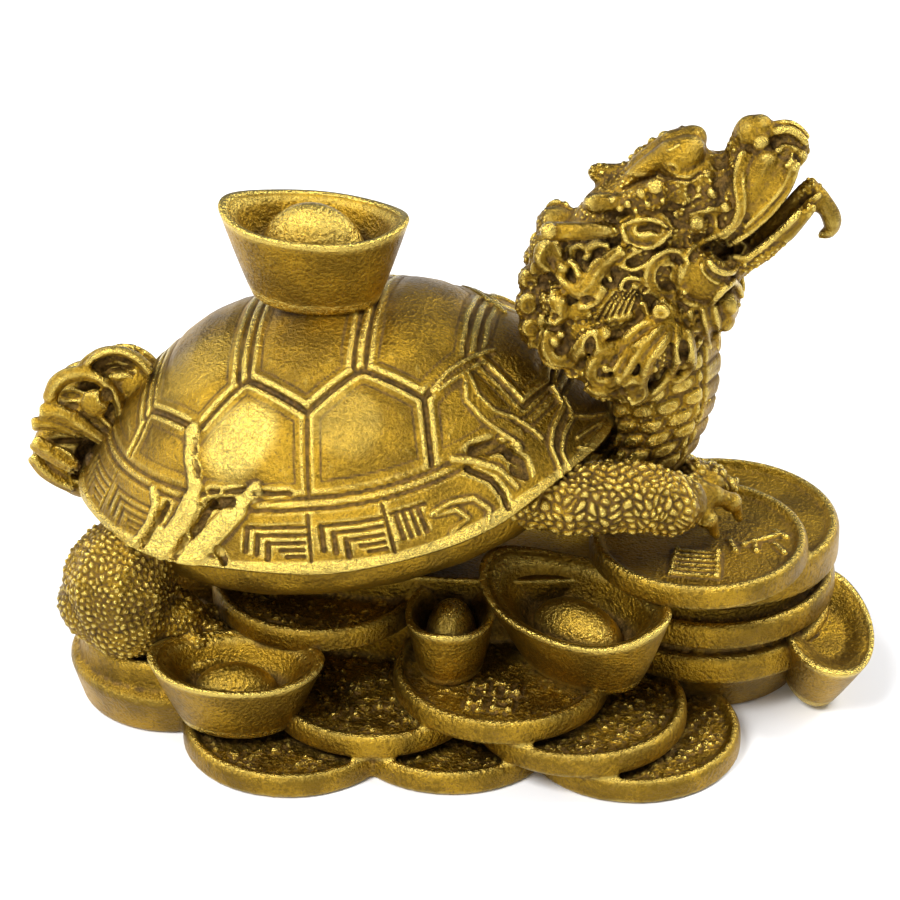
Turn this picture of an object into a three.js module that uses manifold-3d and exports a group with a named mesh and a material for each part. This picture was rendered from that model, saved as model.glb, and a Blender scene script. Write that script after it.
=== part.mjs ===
// A small cast brass dragon turtle: a turtle with a dragon's head, a boat-shaped ingot on its shell,
// standing on a heap of round coins and more ingots. The figure and its heap are one casting, so one solid.
// Millimetres, +Z up, +X the way the turtle looks, the origin on the flat underside below its middle.
import * as THREE from "three";
import { mergeVertices } from "three/addons/utils/BufferGeometryUtils.js";
import Module from "manifold-3d";

const wasm = await Module();
wasm.setup();

// Coins: flat discs whose face sinks inward from the rim.
const COIN_RADIUS = 12;
const COIN_THICK = 2.8;
const COIN_RIM_WIDTH = 1.5;
const COIN_RIM_RISE = 0.8;
const COIN_SIDES = 16;
const LAYER_RISE = 2.9;

// The heap's loose coins, by the centre of each and the layer that it lies in.
const NEAR_COINS = [
  { x: -15, y: -19.2, layer: 0 },
  { x: 2.4, y: -16.2, layer: 0 },
  { x: 22.4, y: -15, layer: 0 },
  { x: -6.4, y: -14.6, layer: 1 },
  { x: 16.4, y: -15.2, layer: 1 },
  { x: 7.8, y: -14.3, layer: 2 },
];
const FAR_COINS = [
  { x: -29.5, y: 9, layer: 0 },
  { x: -11, y: 16.5, layer: 0 },
  { x: 9, y: 17, layer: 0 },
  { x: 25, y: 13, layer: 0 },
  { x: -24.6, y: 13.4, layer: 1 },
  { x: 16, y: 16.4, layer: 1 },
];

// The thick stack under the near paw, the coin under the near hind foot, and the one under the belly.
const STACK_CENTRE = [29, 3.6];
const STACK_BASE_RADIUS = 13;
const STACK_BASE_TOP = 5;
const STACK_BASE_FLARE = 2.6;
const STACK_COIN_RADIUS = 13.8;
const STACK_COIN_THICK = 3;
const STACK_GROOVE = 1.1;
const STACK_TOP_RADIUS = 14.4;
const STACK_TOP_THICK = 6.3;
const PAW_COIN_CENTRE = [28.2, -3.4];
const PAW_COIN_RADIUS = 12.1;
const PAW_COIN_SUNK = 0.4;
const HIND_DISC_CENTRE = [-29.8, -10];
const HIND_DISC_RADIUS = 11.8;
const HIND_DISC_THICK = 5.5;
const HIND_DISC_FLARE = 1.4;
const HIND_COIN_RADIUS = 10.6;
const HIND_COIN_THICK = 3.4;
const BELLY_COIN_CENTRE = [-13.9, -6.2];
const BELLY_COIN_TOP = 13.3;
const CORE_CENTRE = [-3, 1];
const CORE_HALF_LENGTH = 31;
const CORE_HALF_WIDTH = 10.5;
const CORE_HEIGHT = 16;
const CORE_SIDES = 10;

// Ingots: flared boats with a low dome in the dish. The dish's low ring, the dome's side and its top are in
// shares of the half-length and the height, and the ends lift from the given share of the way out.
const INGOT_SIDES = 12;
const INGOT_WALL = 1;
const INGOT_DISH = [
  [0.66, 0.64],
  [0.42, 0.9],
  [0, 1.04],
];
const INGOT_LIFT_FROM = 0.5;
const SHELL_INGOT = { length: 21, width: 12, height: 9.6, lift: 1.6, turn: -9, foot: 0.6 };
const NEAR_INGOT = { length: 19.6, width: 13, height: 7.6, lift: 0.7, turn: 2, foot: 0.6 };
const MIDDLE_INGOT = { length: 24.4, width: 14, height: 9, lift: 1.8, turn: -31, foot: 0.6 };
const END_INGOT = { length: 14, width: 10, height: 7, lift: 0.8, turn: 90, foot: 0.7 };
const FRONT_INGOT = { length: 18, width: 10, height: 7, lift: 1.2, turn: 96, foot: 0.5 };
const SHELL_INGOT_PLACE = [-15, 0.5, 44.6];
const NEAR_INGOT_PLACE = [-20.6, -21.4, 3.2];
const MIDDLE_INGOT_PLACE = [16.4, -12.1, 7.8];
const END_INGOT_PLACE = [2, -13.5, 7.6];
const FRONT_INGOT_PLACE = [41.2, -0.6, 0.9];
const FAR_INGOT_PLACE = [-12, 17.5, 3.2];
const MIDDLE_INGOT_TILT = 9;
const FRONT_INGOT_TILT = 20;

// The shell: an oval dome with a thin rim, nose up, its sides drooping a little.
const SHELL_CENTRE = [-11.5, 0, 28];
const SHELL_HALF_LENGTH = 30.8;
const SHELL_HALF_WIDTH = 25.8;
const SHELL_RISE = 16.8;
const SHELL_FULLNESS = 2.5;
const SHELL_PITCH = 11;
const SHELL_DROOP = 2;
const SHELL_RIM_THICK = 1.1;
const SHELL_SIDES = 22;
const SHELL_RINGS = 5;
const SCUTE_RAISE = 0.55;
const SCUTE_DRAWN_IN = 0.66;
const BELLY = { centre: [-11, 0, 23.5], radii: [26, 20.5, 8], pitch: SHELL_PITCH, around: 12, rings: 5 };

// Scute corners in the shell's own plan: the cross grooves of the middle row, with how far each reaches
// to the side, the points between them, and the outer line where the marginal band starts.
const MIDDLE_GROOVES = [
  [-19, 8],
  [-6.3, 10.9],
  [6.4, 10.9],
  [17.4, 6.3],
];
const SIDE_POINTS = [
  [-12.4, 14],
  [0.4, 15.3],
  [12.8, 12.9],
];
const FRONT_SCUTE = [
  [22.5, 9.4],
  [25, 4.4],
];
const BAND_SHARE = 0.85;

const RADIANS = Math.PI / 180;

// How far a lock's closed end stands out past its last ring, in shares of the radius there.
const TIP_SHARE = 0.7;

// A closed three.js geometry as a solid.
function solid(geometry) {
  const bare = geometry.clone();
  bare.deleteAttribute("normal");
  bare.deleteAttribute("uv");
  const merged = mergeVertices(bare, 1e-4);
  return new wasm.Manifold(
    new wasm.Mesh({
      numProp: 3,
      vertProperties: new Float32Array(merged.attributes.position.array),
      triVerts: new Uint32Array(merged.index.array),
    }),
  );
}

function joined(solids) {
  return solids.reduce((whole, next) => whole.add(next));
}

// Each vertex of a geometry sent through a function of its own position.
function shaped(geometry, move) {
  const position = geometry.attributes.position;
  const point = new THREE.Vector3();
  for (let i = 0; i < position.count; i += 1) {
    point.fromBufferAttribute(position, i);
    move(point);
    position.setXYZ(i, point.x, point.y, point.z);
  }
  return geometry;
}

// A profile of [radius, height] pairs turned about the Z axis.
function turned(profile, sides) {
  const points = profile.map(([radius, height]) => new THREE.Vector2(radius, height));
  return new THREE.LatheGeometry(points, sides).rotateX(Math.PI / 2);
}

// An ellipsoid; pitch lifts its front end, in degrees.
function lump({ centre, radii, pitch = 0, around, rings }) {
  return solid(
    new THREE.SphereGeometry(1, around, rings)
      .scale(...radii)
      .rotateY(-pitch * RADIANS)
      .translate(...centre),
  );
}

// A round-ended lock or limb: a tube along a smooth curve whose radius runs through the given values.
function lock(points, radii, { sides, steps }) {
  const curve = new THREE.CatmullRomCurve3(points.map((p) => new THREE.Vector3(...p)));
  const frames = curve.computeFrenetFrames(steps);
  const radiusAt = (share) => {
    const place = share * (radii.length - 1);
    const before = Math.min(Math.floor(place), radii.length - 2);
    return THREE.MathUtils.lerp(radii[before], radii[before + 1], place - before);
  };
  const rings = steps + 2;
  const tube = shaped(new THREE.SphereGeometry(1, sides, rings), (p) => {
    const ring = Math.round((Math.acos(THREE.MathUtils.clamp(p.y, -1, 1)) / Math.PI) * rings);
    const step = THREE.MathUtils.clamp(ring - 1, 0, steps);
    const centre = curve.getPointAt(step / steps);
    const isTip = ring === 0 || ring === rings;
    const radius = radiusAt(step / steps);
    const across = Math.hypot(p.x, p.z) || 1;
    const side = isTip ? 0 : radius / across;
    const ahead = isTip ? (ring === 0 ? -TIP_SHARE : TIP_SHARE) * radius : 0;
    const { x, z } = p;
    p.copy(centre)
      .addScaledVector(frames.normals[step], x * side)
      .addScaledVector(frames.binormals[step], z * side)
      .addScaledVector(frames.tangents[step], ahead);
  });
  return solid(tube);
}

function coin({ x, y, bottom, radius = COIN_RADIUS, thick = COIN_THICK, flare = 0 }) {
  const top = bottom + thick;
  const profile = [
    [0, bottom],
    [radius - flare, bottom],
    [radius, top],
    [radius - COIN_RIM_WIDTH, top - COIN_RIM_RISE],
    [0, top - COIN_RIM_RISE],
  ];
  return solid(turned(profile, COIN_SIDES).translate(x, y, 0));
}

// The boat: a round bowl profile in shares of its half-length, pressed oval, its two ends lifted.
function ingot({ length, width, height, lift, turn, foot }, place, tilt = 0) {
  const rim = 1 - (2 * INGOT_WALL) / length;
  const profile = [
    [0, 0],
    [foot, 0],
    [1, 1],
    [rim, 1],
    ...INGOT_DISH,
  ];
  const boat = shaped(turned(profile, INGOT_SIDES), (p) => {
    const out = Math.hypot(p.x, p.y);
    const towardsEnd = out > 0 ? (p.x / out) ** 2 : 0;
    const outward = THREE.MathUtils.smoothstep(out, INGOT_LIFT_FROM, 1);
    p.set(
      (p.x * length) / 2,
      (p.y * width) / 2,
      p.z * height + lift * p.z * outward * towardsEnd ** 2,
    );
  });
  return solid(boat.rotateX(tilt * RADIANS).rotateZ(turn * RADIANS).translate(...place));
}

function heap() {
  const loose = [...NEAR_COINS, ...FAR_COINS].map(({ x, y, layer }) =>
    coin({ x, y, bottom: layer * LAYER_RISE }),
  );
  const [stackX, stackY] = STACK_CENTRE;
  const stackStep = STACK_COIN_THICK + STACK_GROOVE;
  const lowerBottom = STACK_BASE_TOP;
  const upperBottom = lowerBottom + stackStep;
  const topBottom = upperBottom + STACK_COIN_THICK;
  const topTop = topBottom + STACK_TOP_THICK;
  const stackCoin = { x: stackX, y: stackY, radius: STACK_COIN_RADIUS };
  const stack = [
    coin({
      ...stackCoin,
      bottom: 0,
      thick: STACK_BASE_TOP + COIN_RIM_RISE,
      radius: STACK_BASE_RADIUS,
      flare: STACK_BASE_FLARE,
    }),
    coin({ ...stackCoin, bottom: lowerBottom, thick: STACK_COIN_THICK }),
    coin({
      ...stackCoin,
      bottom: lowerBottom,
      thick: stackStep + COIN_RIM_RISE,
      radius: STACK_COIN_RADIUS - COIN_RIM_WIDTH,
    }),
    coin({ ...stackCoin, bottom: upperBottom, thick: STACK_COIN_THICK }),
    coin({
      ...stackCoin,
      bottom: topBottom - COIN_RIM_RISE,
      thick: STACK_TOP_THICK + COIN_RIM_RISE,
      radius: STACK_TOP_RADIUS,
    }),
    coin({
      x: PAW_COIN_CENTRE[0],
      y: PAW_COIN_CENTRE[1],
      bottom: topTop - PAW_COIN_SUNK,
      radius: PAW_COIN_RADIUS,
    }),
  ];
  const [hindX, hindY] = HIND_DISC_CENTRE;
  const [bellyX, bellyY] = BELLY_COIN_CENTRE;
  const others = [
    coin({
      x: hindX,
      y: hindY,
      bottom: 0,
      radius: HIND_DISC_RADIUS,
      thick: HIND_DISC_THICK,
      flare: HIND_DISC_FLARE,
    }),
    coin({
      x: hindX,
      y: hindY,
      bottom: HIND_DISC_THICK - COIN_RIM_RISE,
      radius: HIND_COIN_RADIUS,
      thick: HIND_COIN_THICK + COIN_RIM_RISE,
    }),
    coin({ x: bellyX, y: bellyY, bottom: BELLY_COIN_TOP - COIN_THICK }),
  ];
  const block = [
    [0, 0],
    [1, 0],
    [1, CORE_HEIGHT],
    [0, CORE_HEIGHT],
  ];
  const core = turned(block, CORE_SIDES)
    .scale(CORE_HALF_LENGTH, CORE_HALF_WIDTH, 1)
    .translate(...CORE_CENTRE, 0);
  return joined([
    solid(core),
    ...loose,
    ...stack,
    ...others,
    ingot(SHELL_INGOT, SHELL_INGOT_PLACE),
    ingot(NEAR_INGOT, NEAR_INGOT_PLACE),
    ingot(MIDDLE_INGOT, MIDDLE_INGOT_PLACE, MIDDLE_INGOT_TILT),
    ingot(END_INGOT, END_INGOT_PLACE),
    ingot(FRONT_INGOT, FRONT_INGOT_PLACE, FRONT_INGOT_TILT),
    ingot(NEAR_INGOT, FAR_INGOT_PLACE),
  ]);
}

// The dome's height above the rim, by share of the way from its middle to its edge.
function domeHeight(share) {
  return SHELL_RISE * (1 - share ** SHELL_FULLNESS);
}

// From the shell's own plan to its place: droop at the sides, then nose up, then onto the body.
function onBody(geometry) {
  return shaped(geometry, (p) => {
    p.z -= SHELL_DROOP * (p.y / SHELL_HALF_WIDTH) ** 2;
  })
    .rotateY(-SHELL_PITCH * RADIANS)
    .translate(...SHELL_CENTRE);
}

function dome(raise) {
  const under = [
    [0, -SHELL_RIM_THICK],
    [1, -SHELL_RIM_THICK],
  ];
  const over = [];
  for (let ring = SHELL_RINGS; ring >= 0; ring -= 1) {
    const share = Math.sin((ring / SHELL_RINGS) * (Math.PI / 2));
    over.push([share, domeHeight(share) + raise]);
  }
  return turned([...under, ...over], SHELL_SIDES).scale(SHELL_HALF_LENGTH, SHELL_HALF_WIDTH, 1);
}

// An upright prism over one scute, its corners drawn in towards its middle to leave a groove.
function scutePrism(corners) {
  const middle = corners.reduce((sum, [x, y]) => [sum[0] + x, sum[1] + y], [0, 0]);
  const centre = middle.map((value) => value / corners.length);
  const drawn = corners.map(([x, y]) => {
    const reach = Math.hypot(x - centre[0], y - centre[1]);
    const share = 1 - SCUTE_DRAWN_IN / reach;
    return new THREE.Vector2(
      centre[0] + (x - centre[0]) * share,
      centre[1] + (y - centre[1]) * share,
    );
  });
  return new THREE.ExtrudeGeometry(new THREE.Shape(drawn), {
    depth: SHELL_RISE * 2,
    bevelEnabled: false,
  });
}

// Where the line from the shell's middle through a corner meets the inner edge of the marginal band.
function bandPoint([x, y]) {
  const share = Math.hypot(x / SHELL_HALF_LENGTH, y / SHELL_HALF_WIDTH);
  return [(x * BAND_SHARE) / share, (y * BAND_SHARE) / share];
}

function scutes() {
  const mirror = ([x, y]) => [x, -y];
  const middleRow = SIDE_POINTS.map((point, i) => [
    MIDDLE_GROOVES[i],
    point,
    MIDDLE_GROOVES[i + 1],
    mirror(MIDDLE_GROOVES[i + 1]),
    mirror(point),
    mirror(MIDDLE_GROOVES[i]),
  ]);
  const lastGroove = MIDDLE_GROOVES[MIDDLE_GROOVES.length - 1];
  const front = [lastGroove, ...FRONT_SCUTE, ...[...FRONT_SCUTE].reverse().map(mirror), mirror(lastGroove)];
  const rearOuter = bandPoint(MIDDLE_GROOVES[0]);
  const rear = [
    MIDDLE_GROOVES[0],
    mirror(MIDDLE_GROOVES[0]),
    mirror(rearOuter),
    [-SHELL_HALF_LENGTH * BAND_SHARE, 0],
    rearOuter,
  ];
  const sides = [];
  for (let i = 0; i + 1 < SIDE_POINTS.length; i += 1) {
    const [from, to] = [SIDE_POINTS[i], SIDE_POINTS[i + 1]];
    sides.push([from, MIDDLE_GROOVES[i + 1], to, bandPoint(to), bandPoint(from)]);
  }
  const lastSide = SIDE_POINTS[SIDE_POINTS.length - 1];
  sides.push([lastSide, lastGroove, FRONT_SCUTE[0], bandPoint(FRONT_SCUTE[0]), bandPoint(lastSide)]);
  sides.push([MIDDLE_GROOVES[0], SIDE_POINTS[0], bandPoint(SIDE_POINTS[0]), rearOuter]);
  const all = [...middleRow, front, rear, ...sides, ...sides.map((corners) => corners.map(mirror))];
  const outlines = all.map((corners) =>
    THREE.ShapeUtils.area(corners.map(([x, y]) => new THREE.Vector2(x, y))) < 0
      ? [...corners].reverse()
      : corners,
  );
  return joined(outlines.map((corners) => solid(scutePrism(corners))));
}

function shell() {
  const plates = solid(dome(SCUTE_RAISE)).intersect(scutes());
  const plateMesh = plates.getMesh();
  const plateGeometry = new THREE.BufferGeometry();
  plateGeometry.setAttribute("position", new THREE.BufferAttribute(plateMesh.vertProperties, 3));
  plateGeometry.setIndex(new THREE.BufferAttribute(plateMesh.triVerts, 1));
  return joined([
    solid(onBody(dome(0))),
    solid(onBody(plateGeometry)),
    lump(BELLY),
  ]);
}

// Landmarks of the limbs. The near side is -Y; the far side mirrors it unless it says otherwise.
const NEAR_HIND = {
  hip: [-32.5, -13, 19.6],
  knee: [-34.4, -15.2, 16.4],
  heel: [-33.8, -15.6, 12.8],
  sole: [-28.6, -14.6, 11.6],
  toeTips: [
    [-25, -11.8, 10.6],
    [-24.6, -14.4, 10.4],
    [-26, -17, 10.2],
  ],
};
const THIGH_RADII = [5.2, 6.8, 5.8];
const THIGH_FACETS = { sides: 7, steps: 3 };
const HEEL_BULGE = { centre: [-36, -14.8, 13.2], radii: [5.8, 5.4, 4.8], around: 7, rings: 4 };
const SOLE_RADII = [4.8, 3];
const SOLE_FACETS = { sides: 6, steps: 2 };
const HIND_TOE_RADII = [2.2, 1.2];
const FORE_TOE_RADII = [2.5, 1.3];
const TOE_FACETS = { sides: 5, steps: 1 };
const ARM_FACETS = { sides: 7, steps: 4 };
const NEAR_FORE = {
  arm: [[9, -11, 28], [15.5, -11.6, 28], [22.4, -10.5, 28.6], [27.8, -6.6, 26]],
  armRadii: [4, 4.6, 5, 4.1],
  toeTips: [
    [31.6, -0.6, 22.6],
    [32, -3.8, 22.4],
    [30, -7.8, 22.4],
  ],
};
const FAR_FORE = {
  arm: [[8, 14, 26], [13, 17, 22], [16, 18.6, 16], [18, 19, 11.4]],
  armRadii: [4.8, 4.8, 4.6, 3.8],
  toeTips: [
    [23, 16, 9.4],
    [24, 19, 9.2],
    [22.4, 22, 9.2],
  ],
};

function foreLeg({ arm, armRadii, toeTips }) {
  const paw = arm[arm.length - 1];
  return joined([
    lock(arm, armRadii, ARM_FACETS),
    ...toeTips.map((tip) => lock([paw, tip], FORE_TOE_RADII, TOE_FACETS)),
  ]);
}

function hindLeg(side) {
  const to = ([x, y, z]) => [x, side * y, z];
  const { hip, knee, heel, sole, toeTips } = NEAR_HIND;
  return joined([
    lock([hip, knee, heel].map(to), THIGH_RADII, THIGH_FACETS),
    lump({ ...HEEL_BULGE, centre: to(HEEL_BULGE.centre) }),
    lock([heel, sole].map(to), SOLE_RADII, SOLE_FACETS),
    ...toeTips.map((tip) => lock([sole, tip].map(to), HIND_TOE_RADII, TOE_FACETS)),
  ]);
}

// The tail: flame locks curling back from under the rear rim.
const TAIL_CORE = { centre: [-41.4, 0, 25.6], radii: [7, 5.4, 7], pitch: 30, around: 9, rings: 6 };
const TAIL_RADII = [2.6, 2.2, 2, 1.1];
const TAIL_FACETS = { sides: 5, steps: 3 };
const TAIL_LOCKS = [
  [[-33, 0.6, 33], [-37.4, 0.6, 35], [-41.2, 0.6, 33.6], [-43.4, 0.6, 30]],
  [[-35, -3.6, 30.6], [-39.6, -3.6, 33.2], [-44, -3.2, 31.2], [-45.4, -3, 27.4]],
  [[-35, 4.2, 29.6], [-39.6, 4.4, 32.2], [-44, 4, 30.2], [-45.4, 3.6, 26.4]],
  [[-38.6, -3.4, 28.2], [-43, -4.4, 28.2], [-46.4, -3.2, 25.2], [-46.2, -2, 20.6]],
];

function tail() {
  const locks = TAIL_LOCKS.map((path) => lock(path, TAIL_RADII, TAIL_FACETS));
  return joined([lump(TAIL_CORE), ...locks]);
}

// Landmarks of the head, given in its middle plane or for the near side. Each strand has its path, the
// radii that it runs through, and its facets.
const NECK = {
  path: [[4, 0, 24.6], [13, 0, 25.4], [20.6, 0, 29], [23, 0, 37.4], [21.4, 0, 47]],
  radii: [6.2, 7, 6.2, 6.4, 7],
  facets: { sides: 10, steps: 4 },
};
const SNOUT = {
  path: [[25, 0, 60], [31.4, 0, 63], [36.4, 0, 66]],
  radii: [5.6, 4.2, 2.4],
  facets: { sides: 7, steps: 2 },
};
const LOWER_JAW = {
  path: [[28, 0, 52.6], [33.4, 0, 56.4], [38.6, 0, 61.8]],
  radii: [4.8, 2.8, 1.7],
  facets: { sides: 6, steps: 2 },
};
const CHIN_CURL = {
  path: [[38.4, 0, 61.4], [40.4, 0, 60], [41, 0, 57.8], [39.4, 0, 56.8]],
  radii: [1.6, 1.7, 1.3, 0.8],
  facets: { sides: 5, steps: 3 },
};
const BROW = {
  path: [[17, -3, 60.6], [21.4, -2.8, 63.4], [25.2, -2.2, 65.9]],
  radii: [1.2, 2, 2.8],
  facets: { sides: 6, steps: 2 },
};
const HORN = {
  path: [[22.6, -4.2, 61], [18.6, -3.8, 61.4], [16.4, -3.4, 61.2]],
  radii: [1.9, 1.4, 1.4],
  facets: { sides: 4, steps: 2 },
};
const EAR = {
  path: [[18.4, -6.4, 59], [14.4, -6.6, 58.4], [11.6, -6.6, 58.2]],
  radii: [1.6, 1.2, 1.4],
  facets: { sides: 4, steps: 2 },
};
const WHISKER = {
  path: [[31, -2.8, 67], [31.3, -3.8, 62.6], [29.6, -5.2, 59], [26.2, -6.6, 57.4]],
  radii: [0.6, 0.7, 0.7, 0.6],
  facets: { sides: 4, steps: 3 },
};
const SKULL = { centre: [20.5, 0, 55], radii: [9.4, 7.4, 7.6], pitch: 40, around: 8, rings: 6 };
const MANE_BULK = { centre: [18, 0, 49.6], radii: [8, 8.4, 8.6], pitch: 20, around: 8, rings: 5 };
const THROAT = { centre: [26.2, 0, 49.4], radii: [4.6, 5.6, 6.4], pitch: 55, around: 8, rings: 5 };
const NOSE = { centre: [32.6, 0, 68.4], radii: [2.2, 3, 2], around: 7, rings: 5 };
const JOWL = { centre: [27.4, -5, 53.4], radii: [3.8, 2.4, 3.4], pitch: 50, around: 6, rings: 5 };
const CHEEK = { centre: [26.2, -5.2, 59.6], radii: [1.7, 1.3, 1.3], around: 6, rings: 4 };

// The mane's hooked locks: centre in the side view, how far out from the middle plane, size of the hook,
// and the angles that it runs between.
const MANE_HOOKS = [
  { x: 15.3, z: 55.4, out: 7.6, size: 2.3, from: 20, to: -190 },
  { x: 11.8, z: 53.4, out: 5, size: 2.4, from: 60, to: 260 },
  { x: 11, z: 48.8, out: 5, size: 2.3, from: 60, to: 270 },
  { x: 13.2, z: 44.9, out: 6, size: 2.2, from: 60, to: 280 },
  { x: 20, z: 49.4, out: 8.2, size: 2.7, from: 40, to: -190 },
  { x: 18.8, z: 44, out: 7.6, size: 2.3, from: 70, to: 290 },
  { x: 23.8, z: 45, out: 6.6, size: 2.2, from: 90, to: 300 },
  { x: 24, z: 55, out: 6.8, size: 1.9, from: -60, to: 200 },
];
// The head leans: on its far side the face sits a little forward and lower, and the mane lies closer.
const FAR_LEAN = { forward: 1.6, down: 2 };
const FAR_MANE_SHARE = 0.86;
const HOOK_RADII = [1.05, 1.05, 1.3];
const HOOK_SIDES = 4;
const HOOK_STEPS = 4;

// The hook's path, an arc in an upright plane on the near side.
function hookPath({ x, z, out, size, from, to }) {
  const points = [];
  for (let i = 0; i <= HOOK_STEPS; i += 1) {
    const angle = THREE.MathUtils.lerp(from, to, i / HOOK_STEPS) * RADIANS;
    points.push([x + size * Math.cos(angle), -out, z + size * Math.sin(angle)]);
  }
  return points;
}

function head() {
  const nearSide = (point) => point;
  const farSide = ([x, y, z]) => [x + FAR_LEAN.forward, -y, z - FAR_LEAN.down];
  const farMane = ([x, y, z]) => [x, -y * FAR_MANE_SHARE, z];
  const strand = ({ path, radii, facets }, toSide) => lock(path.map(toSide), radii, facets);
  const middle = [
    ...[NECK, SNOUT, LOWER_JAW, CHIN_CURL].map((one) => strand(one, nearSide)),
    ...[SKULL, MANE_BULK, THROAT, NOSE].map(lump),
  ];
  const sides = [nearSide, farSide].flatMap((toSide) => [
    ...[BROW, HORN, EAR, WHISKER].map((one) => strand(one, toSide)),
    ...[JOWL, CHEEK].map((one) => lump({ ...one, centre: toSide(one.centre) })),
  ]);
  const hook = (one, toSide) =>
    lock(hookPath(one).map(toSide), HOOK_RADII, { sides: HOOK_SIDES, steps: HOOK_STEPS });
  const nearHooks = MANE_HOOKS.map((one) => hook(one, nearSide));
  // The far side is plainer: it has every other hook.
  const farHooks = MANE_HOOKS.filter((one, number) => number % 2 === 0).map((one) => hook(one, farMane));
  return joined([...middle, ...sides, ...nearHooks, ...farHooks]);
}

function limbs() {
  return joined([foreLeg(NEAR_FORE), foreLeg(FAR_FORE), hindLeg(1), hindLeg(-1), tail()]);
}

const whole = joined([heap(), shell(), limbs(), head()]);

const body = whole.getMesh();
const geometry = new THREE.BufferGeometry();
geometry.setAttribute("position", new THREE.BufferAttribute(body.vertProperties, 3));
geometry.setIndex(new THREE.BufferAttribute(body.triVerts, 1));
geometry.computeVertexNormals();

const brass = new THREE.MeshStandardMaterial({ color: 0xa8842c, roughness: 0.38, metalness: 1 });
const dragonTurtle = new THREE.Mesh(geometry, brass);
dragonTurtle.name = "dragon_turtle";

const figure = new THREE.Group();
figure.add(dragonTurtle);
export default figure;
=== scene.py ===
import math

import bmesh
import bpy
import numpy as np
from mathutils import Matrix, Vector
from mathutils.bvhtree import BVHTree
from mathutils.kdtree import KDTree


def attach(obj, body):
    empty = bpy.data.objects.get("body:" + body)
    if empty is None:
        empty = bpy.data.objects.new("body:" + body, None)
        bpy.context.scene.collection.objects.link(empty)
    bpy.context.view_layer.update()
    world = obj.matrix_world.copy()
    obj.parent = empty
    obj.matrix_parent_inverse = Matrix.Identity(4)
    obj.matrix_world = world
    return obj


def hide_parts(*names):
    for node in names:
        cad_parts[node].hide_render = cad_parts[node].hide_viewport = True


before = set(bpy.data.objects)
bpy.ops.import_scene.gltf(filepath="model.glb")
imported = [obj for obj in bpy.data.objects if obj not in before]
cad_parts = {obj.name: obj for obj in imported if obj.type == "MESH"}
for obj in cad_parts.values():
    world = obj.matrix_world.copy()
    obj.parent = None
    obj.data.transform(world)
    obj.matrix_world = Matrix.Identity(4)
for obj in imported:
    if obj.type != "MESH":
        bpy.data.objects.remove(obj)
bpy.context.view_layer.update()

# THE STUDIO
# A plain pale table with big soft lamps above it, and the camera in front of the figure, a little above
# it and a little to its right. Lengths here are in millimetres until a piece is finished.
MM = 0.001
CAMERA_TURN = math.radians(8)
CAMERA_RISE = math.radians(30)
CAMERA_DISTANCE = 450
LENS = 162
SENSOR_WIDTH = 36
LOOK_AT = Vector((0, 0, 27))
PICTURE = 900
PIXELS_TO_MM = CAMERA_DISTANCE * SENSOR_WIDTH / LENS / PICTURE
TABLE_REACH = 1600
TABLE_WHITE = (0.88, 0.88, 0.89, 1)
ROOM_LIGHT = (0.93, 0.95, 1, 1)
towards_camera = Vector((
    math.sin(CAMERA_TURN) * math.cos(CAMERA_RISE),
    -math.cos(CAMERA_TURN) * math.cos(CAMERA_RISE),
    math.sin(CAMERA_RISE),
))
camera_right = Vector((math.cos(CAMERA_TURN), math.sin(CAMERA_TURN), 0))
camera_up = towards_camera.cross(camera_right)


class Value:
    """A shader socket that Python's operators work on."""

    def __init__(self, socket):
        self.socket = socket

    def _maths(self, operation, *others):
        return node("ShaderNodeMath", {"operation": operation}, [self, *others])

    def __add__(self, other):
        return self._maths("ADD", other)

    def __sub__(self, other):
        return self._maths("SUBTRACT", other)

    def __rsub__(self, other):
        return node("ShaderNodeMath", {"operation": "SUBTRACT"}, [other, self])

    def __mul__(self, other):
        return self._maths("MULTIPLY", other)

    __radd__ = __add__
    __rmul__ = __mul__

    def most(self, other):
        """The larger of the two."""
        return self._maths("MAXIMUM", other)


def node(kind, settings=None, inputs=None, output=0):
    """One shader node: its settings first, then the values or links of its sockets."""
    made = tree.nodes.new(kind)
    for key, value in (settings or {}).items():
        setattr(made, key, value)
    sockets = inputs.items() if isinstance(inputs, dict) else enumerate(inputs or [])
    for key, value in sockets:
        if isinstance(value, Value):
            tree.links.new(value.socket, made.inputs[key])
        else:
            made.inputs[key].default_value = value
    return Value(made.outputs[output]) if made.outputs else None


def emptied(owner):
    """The shader tree of a new material or world, empty for the next nodes to go into."""
    owner.use_nodes = True
    owner.node_tree.nodes.clear()
    return owner.node_tree


studio = bpy.data.worlds.new("studio")
bpy.context.scene.world = studio
bpy.context.scene.view_settings.view_transform = "Standard"
tree = emptied(studio)
glow = node("ShaderNodeBackground", inputs={"Color": ROOM_LIGHT, "Strength": 0.36})
node("ShaderNodeOutputWorld", inputs={"Surface": glow})

table_form = bmesh.new()
bmesh.ops.create_grid(table_form, x_segments=1, y_segments=1, size=TABLE_REACH * MM)
table_mesh = bpy.data.meshes.new("table")
table_form.to_mesh(table_mesh)
table_form.free()
table = bpy.data.objects.new("table", table_mesh)
bpy.context.scene.collection.objects.link(table)
paper = bpy.data.materials.new("pale_paper")
tree = emptied(paper)
sheet = node("ShaderNodeBsdfPrincipled", inputs={"Base Color": TABLE_WHITE, "Roughness": 0.95})
node("ShaderNodeOutputMaterial", inputs={"Surface": sheet})
table_mesh.materials.append(paper)

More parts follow.
